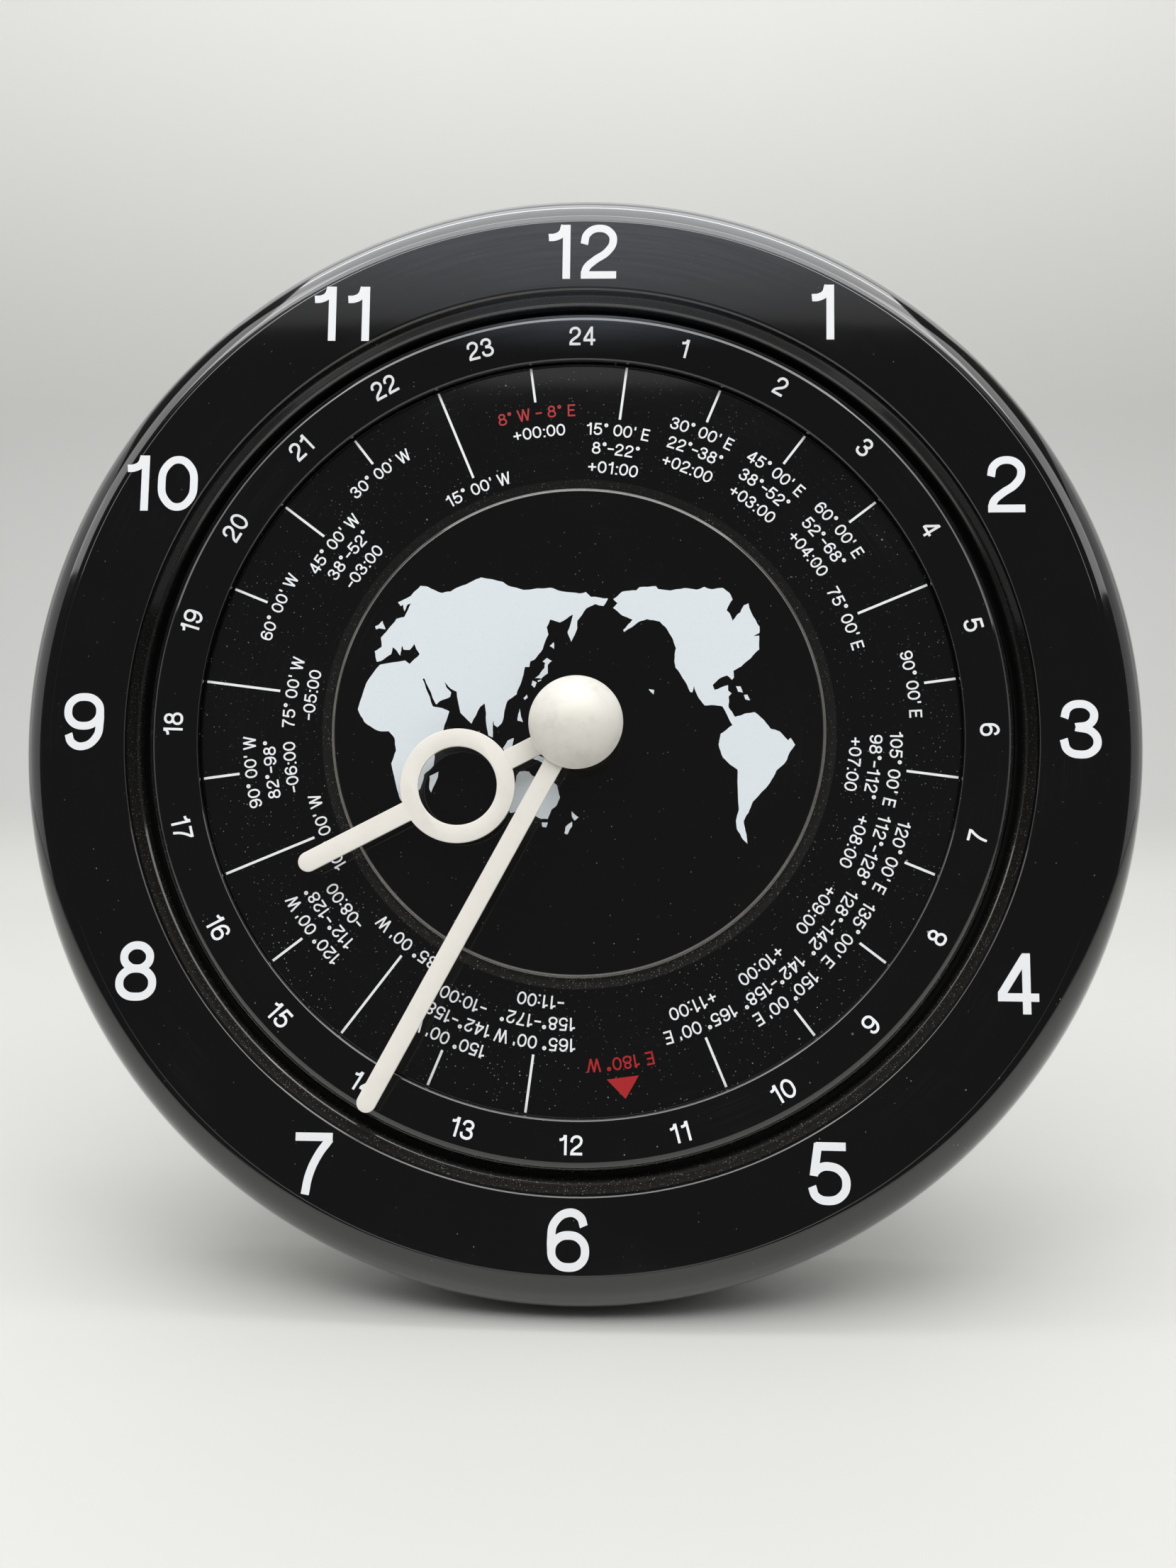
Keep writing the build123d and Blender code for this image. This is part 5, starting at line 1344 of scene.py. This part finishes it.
def add_lamp(name, place, aim, width, height, strength):
    """A soft rectangular lamp that points at a place."""
    bpy.ops.object.light_add(type="AREA", location=place)
    lamp = bpy.context.object
    lamp.name = name
    lamp.data.shape = "RECTANGLE"
    lamp.data.size = width
    lamp.data.size_y = height
    lamp.data.energy = strength
    lamp.rotation_euler = (Vector(aim) - Vector(place)).to_track_quat("-Z", "Y").to_euler()
    lamp.visible_camera = False


class CLOCK_OT_stage(bpy.types.Operator):
    """Lay the table and backdrop, hang the lamps and stand the camera in front of the face"""

    bl_idname = "clock.stage"
    bl_label = "Stage"

    def execute(self, context):
        stage = context.scene.clock_stage
        start_clean()
        bpy.ops.mesh.primitive_plane_add(size=1)
        sheet = context.object
        sheet.name = "stage_sheet"
        bpy.ops.object.mode_set(mode="EDIT")
        bpy.ops.mesh.select_all(action="SELECT")
        bpy.ops.mesh.merge(type="CENTER")
        cove = arc((stage.cove_start, stage.cove_radius), stage.cove_radius, -90, 0, COVE_STEPS)
        side = [
            (-stage.sheet_front, 0),
            *cove,
            (stage.cove_start + stage.cove_radius, stage.sheet_height),
        ]
        bpy.ops.transform.translate(value=(-stage.sheet_width / 2, side[0][0], side[0][1]))
        for start, end in zip(side, side[1:]):
            step = (0, end[0] - start[0], end[1] - start[1])
            bpy.ops.mesh.extrude_region_move(TRANSFORM_OT_translate={"value": step})
        bpy.ops.mesh.select_all(action="SELECT")
        bpy.ops.mesh.extrude_region_move(TRANSFORM_OT_translate={"value": (stage.sheet_width, 0, 0)})
        bpy.ops.mesh.select_all(action="SELECT")
        bpy.ops.mesh.normals_make_consistent(inside=False)
        bpy.ops.object.mode_set(mode="OBJECT")
        bpy.ops.object.shade_smooth()
        sheet.data.materials.append(sheet_finish(stage))
        for name, lamp in LAMPS.items():
            add_lamp(name, *lamp)
        world = bpy.data.worlds.new("studio")
        context.scene.world = world
        world.use_nodes = True
        background = world.node_tree.nodes["Background"]
        background.inputs["Color"].default_value = (1.0, 1.0, 1.0, 1.0)
        background.inputs["Strength"].default_value = WORLD_STRENGTH
        bpy.ops.object.camera_add()
        camera = context.object
        camera.name = "photo_camera"
        turn = Vector(stage.camera_turn)
        camera.matrix_world = (
            face_to_world
            @ Matrix.Translation(Vector(stage.camera_place))
            @ Matrix.Rotation(turn.length, 4, turn.normalized())
        )
        camera.data.sensor_fit = "VERTICAL"
        camera.data.sensor_height = SENSOR_HEIGHT
        camera.data.lens = SENSOR_HEIGHT * stage.focal_share
        camera.data.clip_start = NEAREST_SEEN
        context.scene.camera = camera
        context.scene.view_settings.view_transform = "Standard"
        return {"FINISHED"}


class CLOCK_PT_sidebar(bpy.types.Panel):
    """Builds the clock piece by piece"""

    bl_idname = "CLOCK_PT_sidebar"
    bl_label = "World time clock"
    bl_space_type = "VIEW_3D"
    bl_region_type = "UI"
    bl_category = "Clock"

    def draw(self, context):
        for operator in OPERATORS:
            self.layout.operator(operator.bl_idname)


OPERATORS = (
    CLOCK_OT_inside,
    CLOCK_OT_front_frame,
    CLOCK_OT_day_ring,
    CLOCK_OT_discs,
    CLOCK_OT_numerals,
    CLOCK_OT_zone_print,
    CLOCK_OT_map_print,
    CLOCK_OT_hands,
    CLOCK_OT_rear,
    CLOCK_OT_stage,
)
GROUPS = {
    "clock_dial": ClockDialSizes,
    "clock_hands": ClockHandSizes,
    "clock_back": ClockBackSizes,
    "clock_print": ClockPrintSizes,
    "clock_colours": ClockColours,
    "clock_stage": ClockStage,
}


def register():
    """Add the classes and the settings."""
    for group in GROUPS.values():
        bpy.utils.register_class(group)
    for name, group in GROUPS.items():
        setattr(bpy.types.Scene, name, PointerProperty(type=group))
    for operator in OPERATORS:
        bpy.utils.register_class(operator)
    bpy.utils.register_class(CLOCK_PT_sidebar)


def unregister():
    """Remove the classes and the settings."""
    bpy.utils.unregister_class(CLOCK_PT_sidebar)
    for operator in reversed(OPERATORS):
        bpy.utils.unregister_class(operator)
    for name in GROUPS:
        delattr(bpy.types.Scene, name)
    for group in reversed(list(GROUPS.values())):
        bpy.utils.unregister_class(group)


def main():
    """Build the whole clock."""
    register()
    for operator in OPERATORS:
        group, name = operator.bl_idname.split(".")
        getattr(getattr(bpy.ops, group), name)()


if __name__ == "__main__":
    main()
